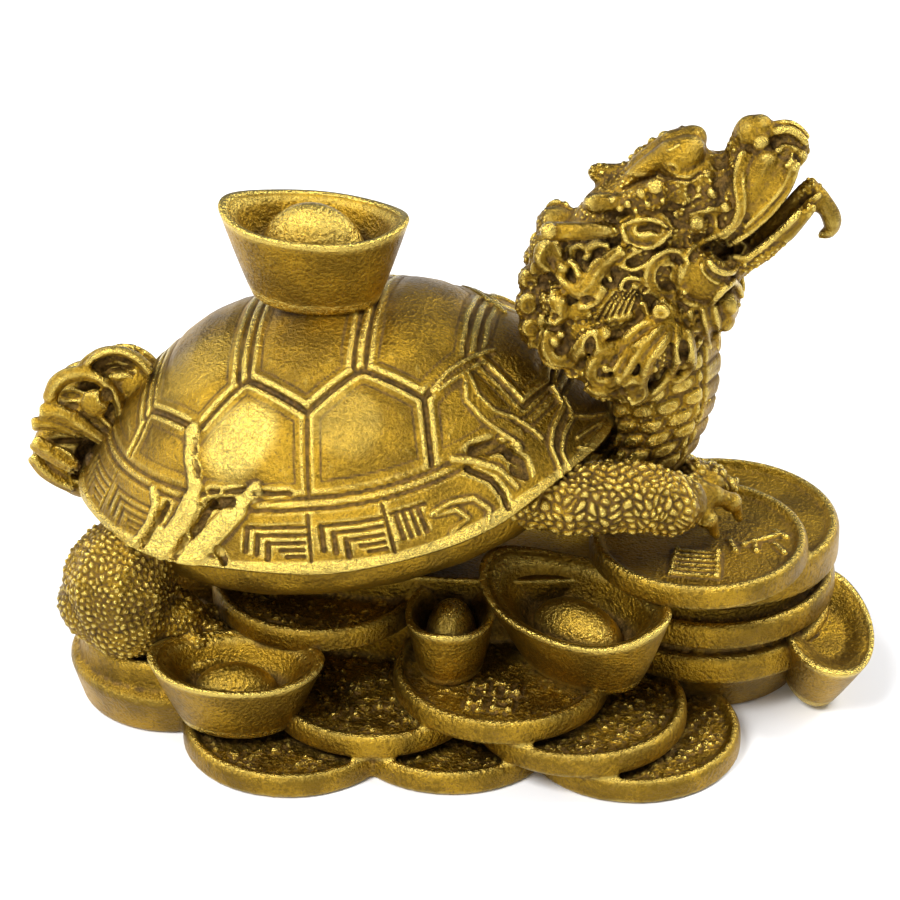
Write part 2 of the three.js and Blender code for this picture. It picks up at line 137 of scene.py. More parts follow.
LAMPS = {
    "key": {"spot": (-320, -460, 700), "size": 360, "watts": 9},
    "right": {"spot": (500, 260, 620), "size": 360, "watts": 6},
    "left": {"spot": (-620, 200, 380), "size": 300, "watts": 2.5},
    "low_front": {"spot": (260, -760, 160), "size": 160, "watts": 1},
}
for name, lamp in LAMPS.items():
    light = bpy.data.lights.new(name, "AREA")
    light.size = lamp["size"] * MM
    light.energy = lamp["watts"]
    holder = bpy.data.objects.new(name, light)
    spot = Vector(lamp["spot"])
    holder.location = spot * MM
    holder.rotation_euler = (LOOK_AT - spot).to_track_quat("-Z", "Y").to_euler()
    bpy.context.scene.collection.objects.link(holder)

lens = bpy.data.cameras.new("camera")
lens.lens = LENS
lens.sensor_width = SENSOR_WIDTH
camera = bpy.data.objects.new("camera", lens)
camera.location = (LOOK_AT + towards_camera * CAMERA_DISTANCE) * MM
camera.rotation_euler = (-towards_camera).to_track_quat("-Z", "Y").to_euler()
bpy.context.scene.collection.objects.link(camera)
bpy.context.scene.camera = camera

# THE HEAP OF COINS
# Round cast coins lie in layers on the flat underside. They are no loose coins: the whole figure is one
# sand casting, so each coin flows into the next with a soft fillet, its face left rough from the mould
# and its rim filed bright.
COIN_RADIUS = 12
COIN_THICK = 2.8
COIN_RIM_WIDTH = 1.3
COIN_RIM_RISE = 0.8
LAYER_RISE = 2.9
HEAP_GRAIN = 0.3
# Share of a skin's faces that is left once its flat parts are thinned out.
FACES_KEPT = 0.75


def poured(form, other):
    """Adds another form to this one."""
    piece = bpy.data.meshes.new("piece")
    other.to_mesh(piece)
    other.free()
    form.from_mesh(piece)
    bpy.data.meshes.remove(piece)


def turned(form, profile, place, steps=72, shape=Matrix()):
    """A profile of radius and height pairs, spun round an upright axis and set down at a place."""
    ring = bmesh.new()
    chain = [ring.verts.new((radius, 0, height)) for radius, height in profile]
    edges = [ring.edges.new(pair) for pair in zip(chain[:-1], chain[1:])]
    bmesh.ops.spin(
        ring, geom=chain + edges, axis=(0, 0, 1), cent=(0, 0, 0),
        angle=2 * math.pi, steps=steps, use_merge=True,
    )
    bmesh.ops.remove_doubles(ring, verts=ring.verts, dist=1e-4)
    bmesh.ops.recalc_face_normals(ring, faces=ring.faces)
    bmesh.ops.transform(ring, matrix=Matrix.Translation(place) @ shape, verts=ring.verts)
    poured(form, ring)


def coin(form, x, y, bottom, radius=COIN_RADIUS, thick=COIN_THICK, flare=0.0):
    """A coin with rounded rim edges and a face that lies lower than the rim."""
    top = bottom + thick
    face = top - COIN_RIM_RISE
    inner = radius - COIN_RIM_WIDTH
    profile = [
        (0, bottom), (radius - flare - 0.3, bottom), (radius - flare * 0.9, bottom + 0.3),
        (radius, top - 0.9), (radius - 0.15, top - 0.4), (radius - 0.5, top - 0.08),
        (radius - 0.8, top), (inner + 0.1, top - 0.15), (inner - 0.15, face + 0.12), (inner - 0.4, face),
        (0, face),
    ]
    turned(form, profile, (x, y, 0))


def fused(name, form, grain):
    """Overlapping closed forms become one skin, as the wax for a casting is melted together."""
    mesh = bpy.data.meshes.new(name)
    form.to_mesh(mesh)
    form.free()
    wax = bpy.data.objects.new(name, mesh)
    bpy.context.scene.collection.objects.link(wax)
    remesh = wax.modifiers.new("fuse", "REMESH")
    remesh.mode = "VOXEL"
    remesh.voxel_size = grain
    skin = bpy.data.meshes.new_from_object(wax.evaluated_get(bpy.context.evaluated_depsgraph_get()))
    bpy.data.objects.remove(wax)
    bpy.data.meshes.remove(mesh)
    skin.name = name
    return skin


def read(collection, field, kind, width):
    """One property of a mesh's vertices or edges as an array."""
    values = np.empty(len(collection) * width, kind)
    collection.foreach_get(field, values)
    return values.reshape(-1, width)


def averaged(values, pairs, counts, rounds):
    """Each value drawn halfway to the mean of its neighbours, again and again."""
    first, second = pairs.T
    for _ in range(rounds):
        total = np.empty_like(values)
        for axis in range(values.shape[1]):
            total[:, axis] = np.bincount(first, values[second, axis], len(counts))
            total[:, axis] += np.bincount(second, values[first, axis], len(counts))
        values = (values + total / counts[:, None]) / 2
    return values


def eased(low, high, value):
    """0 at low, 1 at high and smooth between."""
    share = np.clip((value - low) / (high - low), 0, 1)
    return share * share * (3 - 2 * share)


def seed_tree(seeds):
    """Finds the seeds that lie nearest to a point."""
    near = KDTree(len(seeds))
    for number, seed in enumerate(seeds):
        near.insert(seed, number)
    near.balance()
    return near


SPREADING_ROUNDS = 2


def cobbles(points, pitch, seed):
    """Strews seeds about a pitch apart on a skin.

    Gives each point the way to the border of its seed's patch, in pitches, and a number of that seed's own.
    """
    chance = np.random.default_rng(seed)
    order = chance.permutation(len(points))
    cells = np.floor(points[order] / pitch + chance.random(3)).astype(int)
    seeds = points[order][np.unique(cells, axis=0, return_index=True)[1]]
    for _ in range(SPREADING_ROUNDS):
        near = seed_tree(seeds)
        home = np.array([near.find(point)[1] for point in points])
        counts = np.maximum(np.bincount(home, minlength=len(seeds)), 1)[:, None]
        seeds = np.stack([np.bincount(home, points[:, axis], len(seeds)) for axis in range(3)], 1) / counts
    near = seed_tree(seeds)
    pairs = [near.find_n(point, 2) for point in points]
    border = np.array([second[2] - first[2] for first, second in pairs]) / pitch
    lot = chance.random(len(seeds))[[first[1] for first, second in pairs]]
    return border, lot


def set_points(mesh, points):
    """Moves a mesh's vertices to new places."""
    mesh.vertices.foreach_set("co", points.ravel())
    mesh.update()


# Every finished skin, for the painted shade at the end, and how far the finish looks round for a hollow.
SKINS = []
FINE_REACH = 0.35
BROAD_REACH = 0.9


def finished(mesh, grain, relief=None, soften=2, settled=None, filed=None, kept=FACES_KEPT):
    """Softens a skin, raises its relief and notes for the finish how hollow each point lies.

    It then sits in metres as a piece of the casting.
    """
    pairs = read(mesh.edges, "vertices", np.int32, 2)
    counts = np.maximum(np.bincount(pairs.ravel(), minlength=len(mesh.vertices)), 1)
    points = averaged(read(mesh.vertices, "co", np.float64, 3), pairs, counts, soften)
    set_points(mesh, points)
    if relief:
        points = points + relief(points, read(mesh.vertices, "normal", np.float64, 3))
        set_points(mesh, points)
    if filed:
        mesh.attributes.new("filed", "FLOAT", "POINT").data.foreach_set("value", filed(points))
    if settled:
        points = settled(points)
        set_points(mesh, points)
    normals = read(mesh.vertices, "normal", np.float64, 3)
    for reach, label in ((FINE_REACH, "fine_hollow"), (BROAD_REACH, "broad_hollow")):
        rounds = max(2, round(4 * (reach / grain) ** 2))
        lie = averaged(points, pairs, counts, rounds)
        depth = np.einsum("ij,ij->i", lie - points, normals) / reach
        mesh.attributes.new(label, "FLOAT", "POINT").data.foreach_set("value", depth)
    set_points(mesh, points * MM)
    piece = bpy.data.objects.new(mesh.name, mesh)
    bpy.context.scene.collection.objects.link(piece)
    mesh.polygons.foreach_set("use_smooth", [True] * len(mesh.polygons))
    mesh.materials.append(brass)
    piece.modifiers.new("thinned", "DECIMATE").ratio = kept
    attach(piece, "root")
    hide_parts("dragon_turtle")
    SKINS.append((mesh, points, normals, pairs, counts))
    return piece


def stepped(value, low, high):
    """0 at low, 1 at high and smooth between, for a shader socket."""
    ends = {"Value": value, "From Min": low, "From Max": high, "To Min": 0.0, "To Max": 1.0}
    return node("ShaderNodeMapRange", {"interpolation_type": "SMOOTHSTEP"}, ends)


def tinted(share, under, over):
    """One colour laid over another."""
    return node("ShaderNodeMix", {"data_type": "RGBA"}, {0: share, 6: under, 7: over}, output=2)


# The finish of the whole casting: yellow brass, sandy from the mould, brown where the patina was left in
# the hollows and bright where high places were filed and rubbed. The same browns are painted in as shade
# where the casting shuts out the open air around a point.
BRASS_SATIN = (0.36, 0.212, 0.017, 1)
BRASS_OLIVE = (0.17, 0.1, 0.011, 1)
BRASS_BRIGHT = (0.74, 0.56, 0.13, 1)
# Browns of the patina in the hollows, also used for the painted shade.
SHADE_AND_PATINA_BROWN = (0.03, 0.016, 0.005, 1)
SHADE_AND_PATINA_TAN = (0.15, 0.08, 0.018, 1)
CLOUDS_PER_METRE = 160.0
FLECKS_PER_METRE = 1500.0
SAND_PER_METRE = 2500.0
SAND_DEPTH = 0.26 * MM
brass = bpy.data.materials.new("cast_brass")
tree = emptied(brass)
place = node("ShaderNodeTexCoord", output=3)
fine = node("ShaderNodeAttribute", {"attribute_name": "fine_hollow"}, output=2)
broad = node("ShaderNodeAttribute", {"attribute_name": "broad_hollow"}, output=2)
filed = node("ShaderNodeAttribute", {"attribute_name": "filed"}, output=2)
# How much of the open air the casting shuts out round each point, for the painted shade.
shut = node("ShaderNodeAttribute", {"attribute_name": "occlusion_shade"}, output=2)
cloud = node("ShaderNodeTexNoise", inputs={"Vector": place, "Scale": CLOUDS_PER_METRE, "Detail": 3.0})
fleck = node("ShaderNodeTexNoise", inputs={"Vector": place, "Scale": FLECKS_PER_METRE, "Detail": 2.0})
sand = node("ShaderNodeTexNoise", inputs={
    "Vector": place, "Scale": SAND_PER_METRE, "Detail": 3.0, "Roughness": 0.65,
})
speck = (fleck - 0.5) * 0.1
hollow = stepped(fine + speck, 0.03, 0.2).most(stepped(broad + speck, 0.08, 0.36))
# Painted shade: darker where the casting shuts itself in.
painted_shade = stepped(shut + (cloud - 0.5) * 0.2, 0.3, 0.75)
rubbed = filed * stepped(fleck + cloud * 0.6, 0.5, 0.8) * 0.4 + filed * 0.7
crest = stepped(fine * -1.0 + speck, 0.07, 0.3).most(rubbed) * (1 - painted_shade)
metal = tinted(stepped(cloud * 0.55 + sand * 0.45, 0.42, 0.58), BRASS_OLIVE, BRASS_SATIN)
# The patina's browns, which also colour the painted shade.
patina_and_shade_brown = tinted(stepped(fleck, 0.35, 0.7), SHADE_AND_PATINA_BROWN, SHADE_AND_PATINA_TAN)
specks = stepped(sand, 0.56, 0.66) * (1 - filed * 0.5)
# Real patina in the hollows and dark sand specks, with painted shade where the casting is shut in.
shade_and_patina_share = (hollow * 0.8).most(painted_shade * 0.9).most(specks * 0.6)
colour = tinted(crest * 0.62, tinted(shade_and_patina_share, metal, patina_and_shade_brown), BRASS_BRIGHT)
rough = 0.34 + shade_and_patina_share * 0.25 + (fleck - 0.5) * 0.2 - crest * 0.12
bump = node("ShaderNodeBump", inputs={
    "Strength": 1.0, "Distance": SAND_DEPTH, "Height": fleck * 0.25 - sand,
})
shader = node("ShaderNodeBsdfPrincipled", inputs={
    "Base Color": colour, "Metallic": 1 - shade_and_patina_share * 0.3, "Roughness": rough, "Normal": bump,
})
node("ShaderNodeOutputMaterial", inputs={"Surface": shader})

NEAR_COINS = {
    "front_left": (-15, -19.2, 0),
    "front_middle": (2.4, -16.2, 0),
    "front_right": (22.4, -15, 0),
    "second_left": (-6.4, -14.6, 1),
    "second_right": (16.4, -15.2, 1),
    "marked": (7.8, -14.3, 2),
}
FAR_COINS = [(-29.5, 9, 0), (-11, 16.5, 0), (9, 17, 0), (25, 13, 0), (-24.6, 13.4, 1), (16, 16.4, 1)]
HIND_DISC = {"x": -29.8, "y": -10, "radius": 11.8, "thick": 5.5, "flare": 1.4}
HIND_COIN = {"radius": 10.6, "thick": 3.4}
HIND_COIN_SUNK = 0.8
BELLY_COIN = {"x": -13.9, "y": -6.2, "top": 13.3}
CORE = {"x": -3, "y": 1, "half_length": 31, "half_width": 10.5, "height": 16}
CRUMB_PITCH = 0.62
CRUMB_RISE = 0.6
# How far above or below a coin's face the mould's roughness still counts as on it.
FACE_REACH = 0.45
FEWEST_SPOTS = 50
STROKE_REACH = 0.5
# Shallow strokes stand on the marked coin and on the one under the paw. They aren't letters.
STROKE_RISE = 0.34
MARKED_FACE = 7.8
PAW_FACE = 20
STROKES = [((x, -17.2), (x, -19.2), MARKED_FACE) for x in (5.2, 6.5, 7.6, 9, 10.1)]
STROKES += [((x, -20.4), (x, -22.6), MARKED_FACE) for x in (5, 6.3, 7.8, 9.5)]
STROKES += [(start, end, MARKED_FACE) for start, end in (
    ((5.2, -18.1), (6.5, -18.1)), ((7.6, -17.4), (8.5, -17.4)), ((9, -19), (10.1, -19)),
    ((5, -21.5), (6.3, -21.5)), ((7.8, -20.7), (9.5, -20.7)), ((7.8, -22.3), (9.5, -22.3)))]
STROKES += [((26, -6.6 - 0.95 * row), (30.6, -6.5 - 0.95 * row), PAW_FACE) for row in range(6)]
STROKES += [((26, -6.4), (25.7, -11.4), PAW_FACE), ((30.6, -6.4), (30.9, -11.4), PAW_FACE)]
STROKES += [(start, end, PAW_FACE) for start, end in (
    ((33.2, -4.2), (36.6, -1.8)), ((36.4, -0.8), (37.8, -2)), ((36.6, -3.6), (37.8, -5.4)),
    ((34.4, -3.6), (34.7, -5.4)), ((31.6, -3.4), (32.4, -5.6)))]
coin_faces = []


def laid(form, x, y, bottom, grit=1.0, **sizes):
    """A coin in the heap whose face is noted, so that the mould's roughness can be put on it."""
    coin(form, x, y, bottom, **sizes)
    height = bottom + sizes.get("thick", COIN_THICK) - COIN_RIM_RISE
    coin_faces.append((x, y, height, sizes.get("radius", COIN_RADIUS) - COIN_RIM_WIDTH, grit))


def rough_faces(points, normals):
    """Crumbs of sand on the coin faces, coarse in some places and worn flat in others."""
    rise = np.zeros(len(points))
    for number, (x, y, height, radius, grit) in enumerate(coin_faces):
        reach = np.hypot(points[:, 0] - x, points[:, 1] - y)
        level = (abs(points[:, 2] - height) < FACE_REACH) & (normals[:, 2] > 0.5)
        on_face = (reach < radius - 0.3) & level
        spots = points[on_face]
        if len(spots) > FEWEST_SPOTS:
            border, lot = cobbles(spots, CRUMB_PITCH, number)
            patch = np.sin(spots[:, 0] * 0.9 + number) * np.sin(spots[:, 1] * 1.1 + number * 2)
            coarse = 0.5 + 0.5 * eased(-0.5, 0.6, patch)
            crumbs = eased(0.02, 0.5, border) * (0.04 + CRUMB_RISE * lot ** 2) * coarse
            rise[on_face] = grit * (crumbs - 0.1)
    for start, end, height in STROKES:
        along = np.subtract(end, start)
        share = np.clip((points[:, :2] - start) @ along / (along @ along), 0, 1)
        off = np.linalg.norm(points[:, :2] - start - share[:, None] * along, axis=1)
        on_face = (abs(points[:, 2] - height) < STROKE_REACH) & (normals[:, 2] > 0.5)
        rise += STROKE_RISE * (1 - eased(0.16, 0.42, off)) * on_face
    rise *= eased(0.05, 0.6, points[:, 2])
    return normals * rise[:, None]


def filed_rims(points):
    """The top of each coin's rim, rubbed bright."""
    filed = np.zeros(len(points))
    for x, y, height, radius, _ in coin_faces:
        reach = np.hypot(points[:, 0] - x, points[:, 1] - y) - radius
        on_rim = (reach > 0.25) & (reach < COIN_RIM_WIDTH + 0.1)
        off_top = abs(points[:, 2] - height - COIN_RIM_RISE)
        filed = np.maximum(filed, 0.6 * on_rim * (1 - eased(0.1, 0.35, off_top)))
    return filed


near_heap = bmesh.new()
for name, (x, y, layer) in NEAR_COINS.items():
    laid(near_heap, x, y, layer * LAYER_RISE, grit=0.45 if name == "marked" else 1)
coin(near_heap, bottom=0, **HIND_DISC)
laid(
    near_heap, HIND_DISC["x"], HIND_DISC["y"], HIND_DISC["thick"] - HIND_COIN_SUNK, grit=0.3,
    radius=HIND_COIN["radius"], thick=HIND_COIN["thick"] + HIND_COIN_SUNK,
)
laid(near_heap, BELLY_COIN["x"], BELLY_COIN["y"], BELLY_COIN["top"] - COIN_THICK)
core_profile = [(0, 0.02), (1, 0.02), (1, CORE["height"]), (0, CORE["height"])]
core_shape = Matrix.Diagonal((CORE["half_length"], CORE["half_width"], 1, 1))
turned(near_heap, core_profile, (CORE["x"], CORE["y"], 0), shape=core_shape)
finished(fused("near_coins", near_heap, HEAP_GRAIN), HEAP_GRAIN, rough_faces, filed=filed_rims)

coin_faces = []
FAR_GRAIN = 0.42
far_heap = bmesh.new()
for x, y, layer in FAR_COINS:
    laid(far_heap, x, y, layer * LAYER_RISE)
finished(fused("far_coins", far_heap, FAR_GRAIN), FAR_GRAIN, rough_faces)

# THE STACK UNDER THE PAW
# A thick stack of larger coins with deep rough grooves between them, and on top the coin that the turtle
# sets its near paw on. It is cast in one with the heap.
STACK = {"x": 29, "y": 3.6}
PAW_COIN = {"x": 28.2, "y": -3.4, "radius": 12.1, "bottom": 18}
STACK_TOP = {"x": 30, "y": 4.6, "radius": 13.4, "bottom": 14.2, "thick": 4.2}
STACK_LAYERS = [
    {"bottom": 0, "thick": 5.8, "radius": 13, "flare": 2.6},
    {"bottom": 5.2, "thick": 3.4, "radius": 14},
    {"bottom": 7.4, "thick": 3, "radius": 12.4},
    {"bottom": 9.9, "thick": 3.1, "radius": 14.2},
    {"bottom": 12.2, "thick": 2.6, "radius": 11.8},
]
coin_faces = []
stack = bmesh.new()
for layer in STACK_LAYERS:
    laid(stack, STACK["x"], STACK["y"], grit=0.8, **layer)
laid(stack, grit=0.15, **STACK_TOP)
laid(stack, grit=0.1, **PAW_COIN)
finished(fused("paw_stack", stack, HEAP_GRAIN), HEAP_GRAIN, rough_faces, filed=filed_rims)

# THE INGOTS
# Boat-shaped ingots with a dome in the dish: one rides on the shell, the others lie on the heap. Each is
# cast with the figure, its outer wall left smooth and the flat edge of its rim filed bright.
INGOT_WALL = 1
INGOTS = {
    "shell_ingot": {"size": (21.4, 13.2, 9.8), "lift": 0.9, "turn": -7, "tilt": 0, "foot": 0.64,
                    "place": (-15, 0.5, 44.6), "dome": (0.56, 0.66)},
    "near_ingot": {"size": (19.6, 13, 7.6), "lift": 0.7, "turn": 2, "tilt": 0, "foot": 0.6,
                   "place": (-20.6, -21.4, 3.2)},
    "middle_ingot": {"size": (24.4, 14, 9), "lift": 1.8, "turn": -31, "tilt": 9, "foot": 0.6,
                     "place": (16.4, -12.1, 7.8)},
    "end_ingot": {"size": (14, 10, 7), "lift": 0.8, "turn": 90, "tilt": 0, "foot": 0.7,
                  "place": (2, -13.5, 7.6), "dome": (0.56, 0.62)},
    "front_ingot": {"size": (18, 10.6, 7.7), "lift": 0.7, "turn": 97, "tilt": 12, "foot": 0.6,
                    "place": (41.2, -0.6, 1.3), "pitch": 9, "dome": (0.4, 0.02), "floor": 0.84},
    "far_ingot": {"size": (19.6, 13, 7.6), "lift": 0.7, "turn": 2, "tilt": 0, "foot": 0.6,
                  "place": (-12, 17.5, 3.2)},
}
INGOT_GRAIN = 0.25
EDGE_HEIGHT = 1.01
EDGE_FILED = 0.7
DISH_FLOOR = 0.52
# How far the dome reaches over the dish and how high it stands.
DOME = (0.47, 0.42)


def ingot_profile(foot, rim, floor, dome_reach, dome_rise):
    """The boat's wall and dish as radius and height, in shares of its half-length and height."""
    wall = [(foot + (1 - foot) * share ** 0.92, share) for share in np.linspace(0, 1, 18)]
    edge = [(0.995, 1.02), (rim + 0.01, 1.02), (rim - 0.015, 0.99)]
    dish = [(rim - (rim - dome_reach) * share ** 0.8, 0.99 - (0.99 - floor) * eased(0, 1, share))
            for share in np.linspace(0.1, 1, 12)]
    dome = [(dome_reach * math.cos(rise), floor + dome_rise * math.sin(rise))
            for rise in np.linspace(0.1, math.pi / 2, 14)]
    return [(0, 0), (foot * 0.5, 0), *wall, *edge, *dish, *dome[:-1], (0, floor + dome_rise)]


for name, ingot in INGOTS.items():
    length, width, height = ingot["size"]
    boat = bmesh.new()
    rim = 1 - 2 * INGOT_WALL / length
    floor = ingot.get("floor", DISH_FLOOR)
    turned(boat, ingot_profile(ingot["foot"], rim, floor, *ingot.get("dome", DOME)), (0, 0, 0), steps=120)
    filed_edge = boat.verts.layers.float.new("filed")
    for vert in boat.verts:
        x, y, z = vert.co
        vert[filed_edge] = EDGE_FILED * (z > EDGE_HEIGHT)
        towards_end = (x * x / (x * x + y * y + 1e-6)) ** 2
        rise = float(eased(0.5, 1, math.hypot(x, y))) * ingot["lift"] * z * towards_end
        vert.co = (x * length / 2, y * width / 2, z * height + rise)
    tilt = Matrix.Rotation(math.radians(-ingot.get("pitch", 0)), 4, "Y")
    tilt = tilt @ Matrix.Rotation(math.radians(ingot["tilt"]), 4, "X")
    turn = Matrix.Rotation(math.radians(ingot["turn"]), 4, "Z")
    bmesh.ops.transform(boat, matrix=Matrix.Translation(ingot["place"]) @ turn @ tilt, verts=boat.verts)
    mesh = bpy.data.meshes.new(name)
    boat.to_mesh(mesh)
    boat.free()
    finished(mesh, INGOT_GRAIN, soften=1, kept=1)

# THE SHELL
# An oval dome, nose up, with a thin rim. Its scutes are outlined by chiselled grooves with raised lips,
# a key pattern runs round the marginal band, and low branches and leaves are carved over the band at
# the rear and the front. The rim and the carving's high lines are filed bright.
SHELL_CENTRE = (-11.5, 0, 28)
SHELL_HALF_LENGTH = 30.8
SHELL_HALF_WIDTH = 25.8
SHELL_RISE = 16.8
SHELL_FULLNESS = 2.5
SHELL_PITCH = math.radians(11)
SHELL_DROOP = 2
SHELL_CELLS = 290
SHELL_GRAIN = 0.22
# Beside its front quarter the rim sags a little more.
SAG = 1.1
SAG_ANGLE = math.radians(68)
SAG_REACH = math.radians(32)
BAND = 0.835
BAND_LINES = (0.838, 0.864)
# Millimetres in a whole share of the way out, near the band.
SHARE_TO_MM = 42
GROOVE_DEPTH = 0.5
SIDE_GROOVE_DEPTH = 0.2
LIP_RISE = 0.08
PILLOW_RISES = (0.22, 0.25)
TROUGH_DEPTH = 0.1
TROUGH_INWARD = 1.55
ZIGZAG = [(-19, 8), (-12.4, 14), (-6.6, 10.8), (0.4, 15.3), (6.2, 11), (12.8, 12.9), (17.4, 6.3),
          (22.5, 9.4), (25, 4.4), (25, 0)]
REAR_DOWN = [(-19, 8), (-20.4, 10), (-21.6, 10.9)]
SIDE_DOWN = [(0.4, 15.3), (0.2, 21.4)]
FRONT_DOWN = [(12.8, 12.9), (13.4, 18.8)]
CROSSES = {-19.4: 8, -7.05: 10.6, 6: 10.8, 17.4: 6.3}
CROSS_GAP = 0.65


def unrolled(spots):
    """Plan places spread so that ways between them are about as long as on the dome."""
    share = np.hypot(spots[:, 0] / SHELL_HALF_LENGTH, spots[:, 1] / SHELL_HALF_WIDTH)
    return spots * (1 + 0.2 * share ** 3)[:, None]


def off_path(spots, path):
    """How far each spot is from a path on the flat."""
    marks = np.array(path, float)
    nearest = np.full(len(spots), 99.0)
    for start, end in zip(marks[:-1], marks[1:]):
        along = end - start
        share = np.clip((spots - start) @ along / (along @ along), 0, 1)
        nearest = np.minimum(nearest, np.linalg.norm(spots - start - share[:, None] * along, axis=1))
    return nearest


def off_carved(spots, path):
    """How far each unrolled spot is from a path drawn in the shell's plan."""
    return off_path(spots, unrolled(np.array(path, float)))


def ridge(spots, path, half_width, rise):
    """A rounded line that stands up, or a groove where the rise is negative."""
    return rise * (1 - eased(half_width * 0.45, half_width * 1.15, off_carved(spots, path)))


# Straps filed flat over the rear band, then raised and cut lines: the branch, the leaves and the fold over
# the front band. Each has its half width, its height or depth, and its path in the shell's plan.
FILED = [
    (0.95, [(-13, 13.8), (-13, 15.6), (-12.9, 17.1), (-12.7, 18.4), (-13.6, 19.4)]),
    (1.25, [(-13.4, 19.2), (-14.9, 20.1), (-16.9, 20.6), (-18.8, 20.8)]),
    (0.7, [(-5.6, 20.4), (-7, 20.9), (-8.4, 21.4)]),
    (1.3, [(-7.8, 21.2), (-9.6, 21.8), (-11.8, 22.3), (-14, 22.5), (-16, 22.5)]),
    (0.5, [(-18.2, 16.2), (-17.9, 17.3), (-18.8, 18.3), (-20.5, 18.6), (-21.9, 18.4)]),
    (0.9, [(-17.6, 19.6), (-19.6, 20), (-21, 19.6)]),
]
FILED_RISE = 0.42
# Scutes rubbed bright on the near side: middle, reach and strength.
RUBBED = [((-7.2, 16.2), (4.4, 3.1), 0.8), ((4.6, 16), (4, 3), 0.25), ((-13, 6), (6, 4), 0.2)]
RAISED = [
    (0.3, 0.35, [(16.8, 9.4), (16.9, 11.9), (18.3, 12.8), (20, 13.2), (21.5, 13.3)]),
    (0.32, 0.4, [(17.1, 8.8), (18, 11), (19.7, 11.7), (21.6, 11.2), (23.2, 11.2), (24.1, 11.5)]),
    (0.8, 0.2, [(17, 9.6), (17.6, 11.6), (19.6, 12.4), (22, 12.2)]),
    (0.6, 0.5, [(21.8, 13.5), (21.9, 13.7)]),
    (0.4, 0.35, [(15.4, 17.2), (17.5, 16.6), (20, 16.3), (21.6, 16.8)]),
    (0.3, 0.4, [(25.1, 4.8), (26.1, 6.5), (25.2, 9.8), (25, 11.7), (25.7, 13), (25.8, 13.8)]),
    (0.28, 0.35, [(26.1, 5.2), (27, 6.8), (26.2, 9.6), (26, 11.4), (26.6, 12.6)]),
    (0.25, 0.3, [(26.7, 7), (28.5, 5.2), (29.9, 2.8)]),
    (0.25, 0.3, [(27.4, 8.9), (29.4, 4.9)]),
    (0.25, 0.3, [(27.6, 9.7), (29.4, 8.6)]),
    (0.3, 0.35, [(12.9, 21.3), (15, 20.1), (17.3, 19.2), (18.8, 19.4), (18.4, 20.4)]),
    (0.28, 0.3, [(13.4, 21.2), (15.5, 20.4), (16.6, 20.6), (14.8, 21.8)]),
    (0.3, 0.35, [(19.4, 4.4), (17.6, 6.4), (15.2, 9.4), (13.6, 12)]),
    (0.25, 0.25, [(14.2, 11.8), (16.4, 9.4), (18.6, 6.6)]),
]
CUT = [
    (0.32, 0.5, [(-12.6, 14.8), (-12.6, 15.9)]),
    (0.4, 0.6, [(-12.5, 16.7), (-12.4, 17.6)]),
    (0.62, 0.8, [(-16.7, 18.1), (-17.9, 18.6), (-19.6, 19.3)]),
    (0.6, 0.8, [(-11.3, 20), (-9.5, 20.4), (-8.4, 20.7)]),
    (0.7, 0.8, [(-11.3, 20.1), (-12.4, 20.8), (-13.4, 21.2)]),
    (0.65, 0.8, [(-14.6, 21.3), (-15.7, 21.8)]),
    (0.55, 0.6, [(-10.6, 23.1), (-9.9, 23.9)]),
    (0.28, 0.5, [(-11.2, 19.2), (-10.1, 19.5)]),
    (0.28, 0.5, [(-9.4, 19.8), (-7, 20.2)]),
    (0.28, 0.45, [(-5.7, 20.7), (-1.8, 21.2)]),
    (0.8, 0.5, [(17.6, 15.8), (20, 14.4), (21.1, 14.4)]),
    (0.8, 0.5, [(21.1, 14.6), (22.3, 14.7), (22.6, 15.4), (21.6, 15.6)]),
    (0.4, 0.5, [(16.9, 17.4), (19.2, 17.3), (20.3, 17.9), (20.6, 18.6)]),
]
# One unit of the key pattern, along the band and down from its upper edge.
KEY_LENGTH = 8.75
KEY_DEPTH = 0.34
KEY_BARS = [
    [(8.1, 1.4), (1.2, 1.4)],
    [(8.1, 2.3), (2.5, 2.3)],
    [(7.9, 3.2), (3.8, 3.2)],
    [(7.8, 4), (5.2, 4)],
    [(7.8, 4.7), (5.9, 4.7)],
    [(8.55, 0), (8.55, 5.2)],
]
KEY_LEGS = [
    [(1.2, 1.4), (1.2, 4.1)],
    [(2.5, 2.3), (2.5, 4.4)],
    [(3.8, 3.2), (3.8, 4.9)],
]
COMB_BARS = [[(0.5, 1.2), (4.6, 1.2)]]
COMB_LEGS = [[(0.85 * tooth + 1, 1.4), (0.85 * tooth + 1.1, 4)] for tooth in range(4)]
BAR_HALF_WIDTH = 0.17
LEG_HALF_WIDTH = 0.26
# Where each run of the pattern starts along the band, and how many units it has.
SIDE_KEYS = (-8.6, 2)
COMB = (8.9, 0.53)
REAR_KEYS = (-38, 2)
REAR_KEYS_SHARE = 0.6
KEY_TOP = 0.877
KEY_SCALE = 52


def keys(along, down, stretch, bars, legs):
    """The chiselled keys: one unit's lines, wherever along the band the units stand."""
    start, units = stretch
    local = np.stack([(along - start) % KEY_LENGTH, down], 1)
    rise = np.zeros(len(along))
    for half_width, paths in ((BAR_HALF_WIDTH, bars), (LEG_HALF_WIDTH, legs)):
        for first, last in paths:
            step = np.subtract(last, first)
            share = np.clip((local - first) @ step / (step @ step), 0, 1)
            off = np.linalg.norm(local - first - share[:, None] * step, axis=1)
            rise = np.minimum(rise, -KEY_DEPTH * (1 - eased(half_width * 0.6, half_width * 1.7, off)))
    return rise * ((along > start) & (along < start + units * KEY_LENGTH))


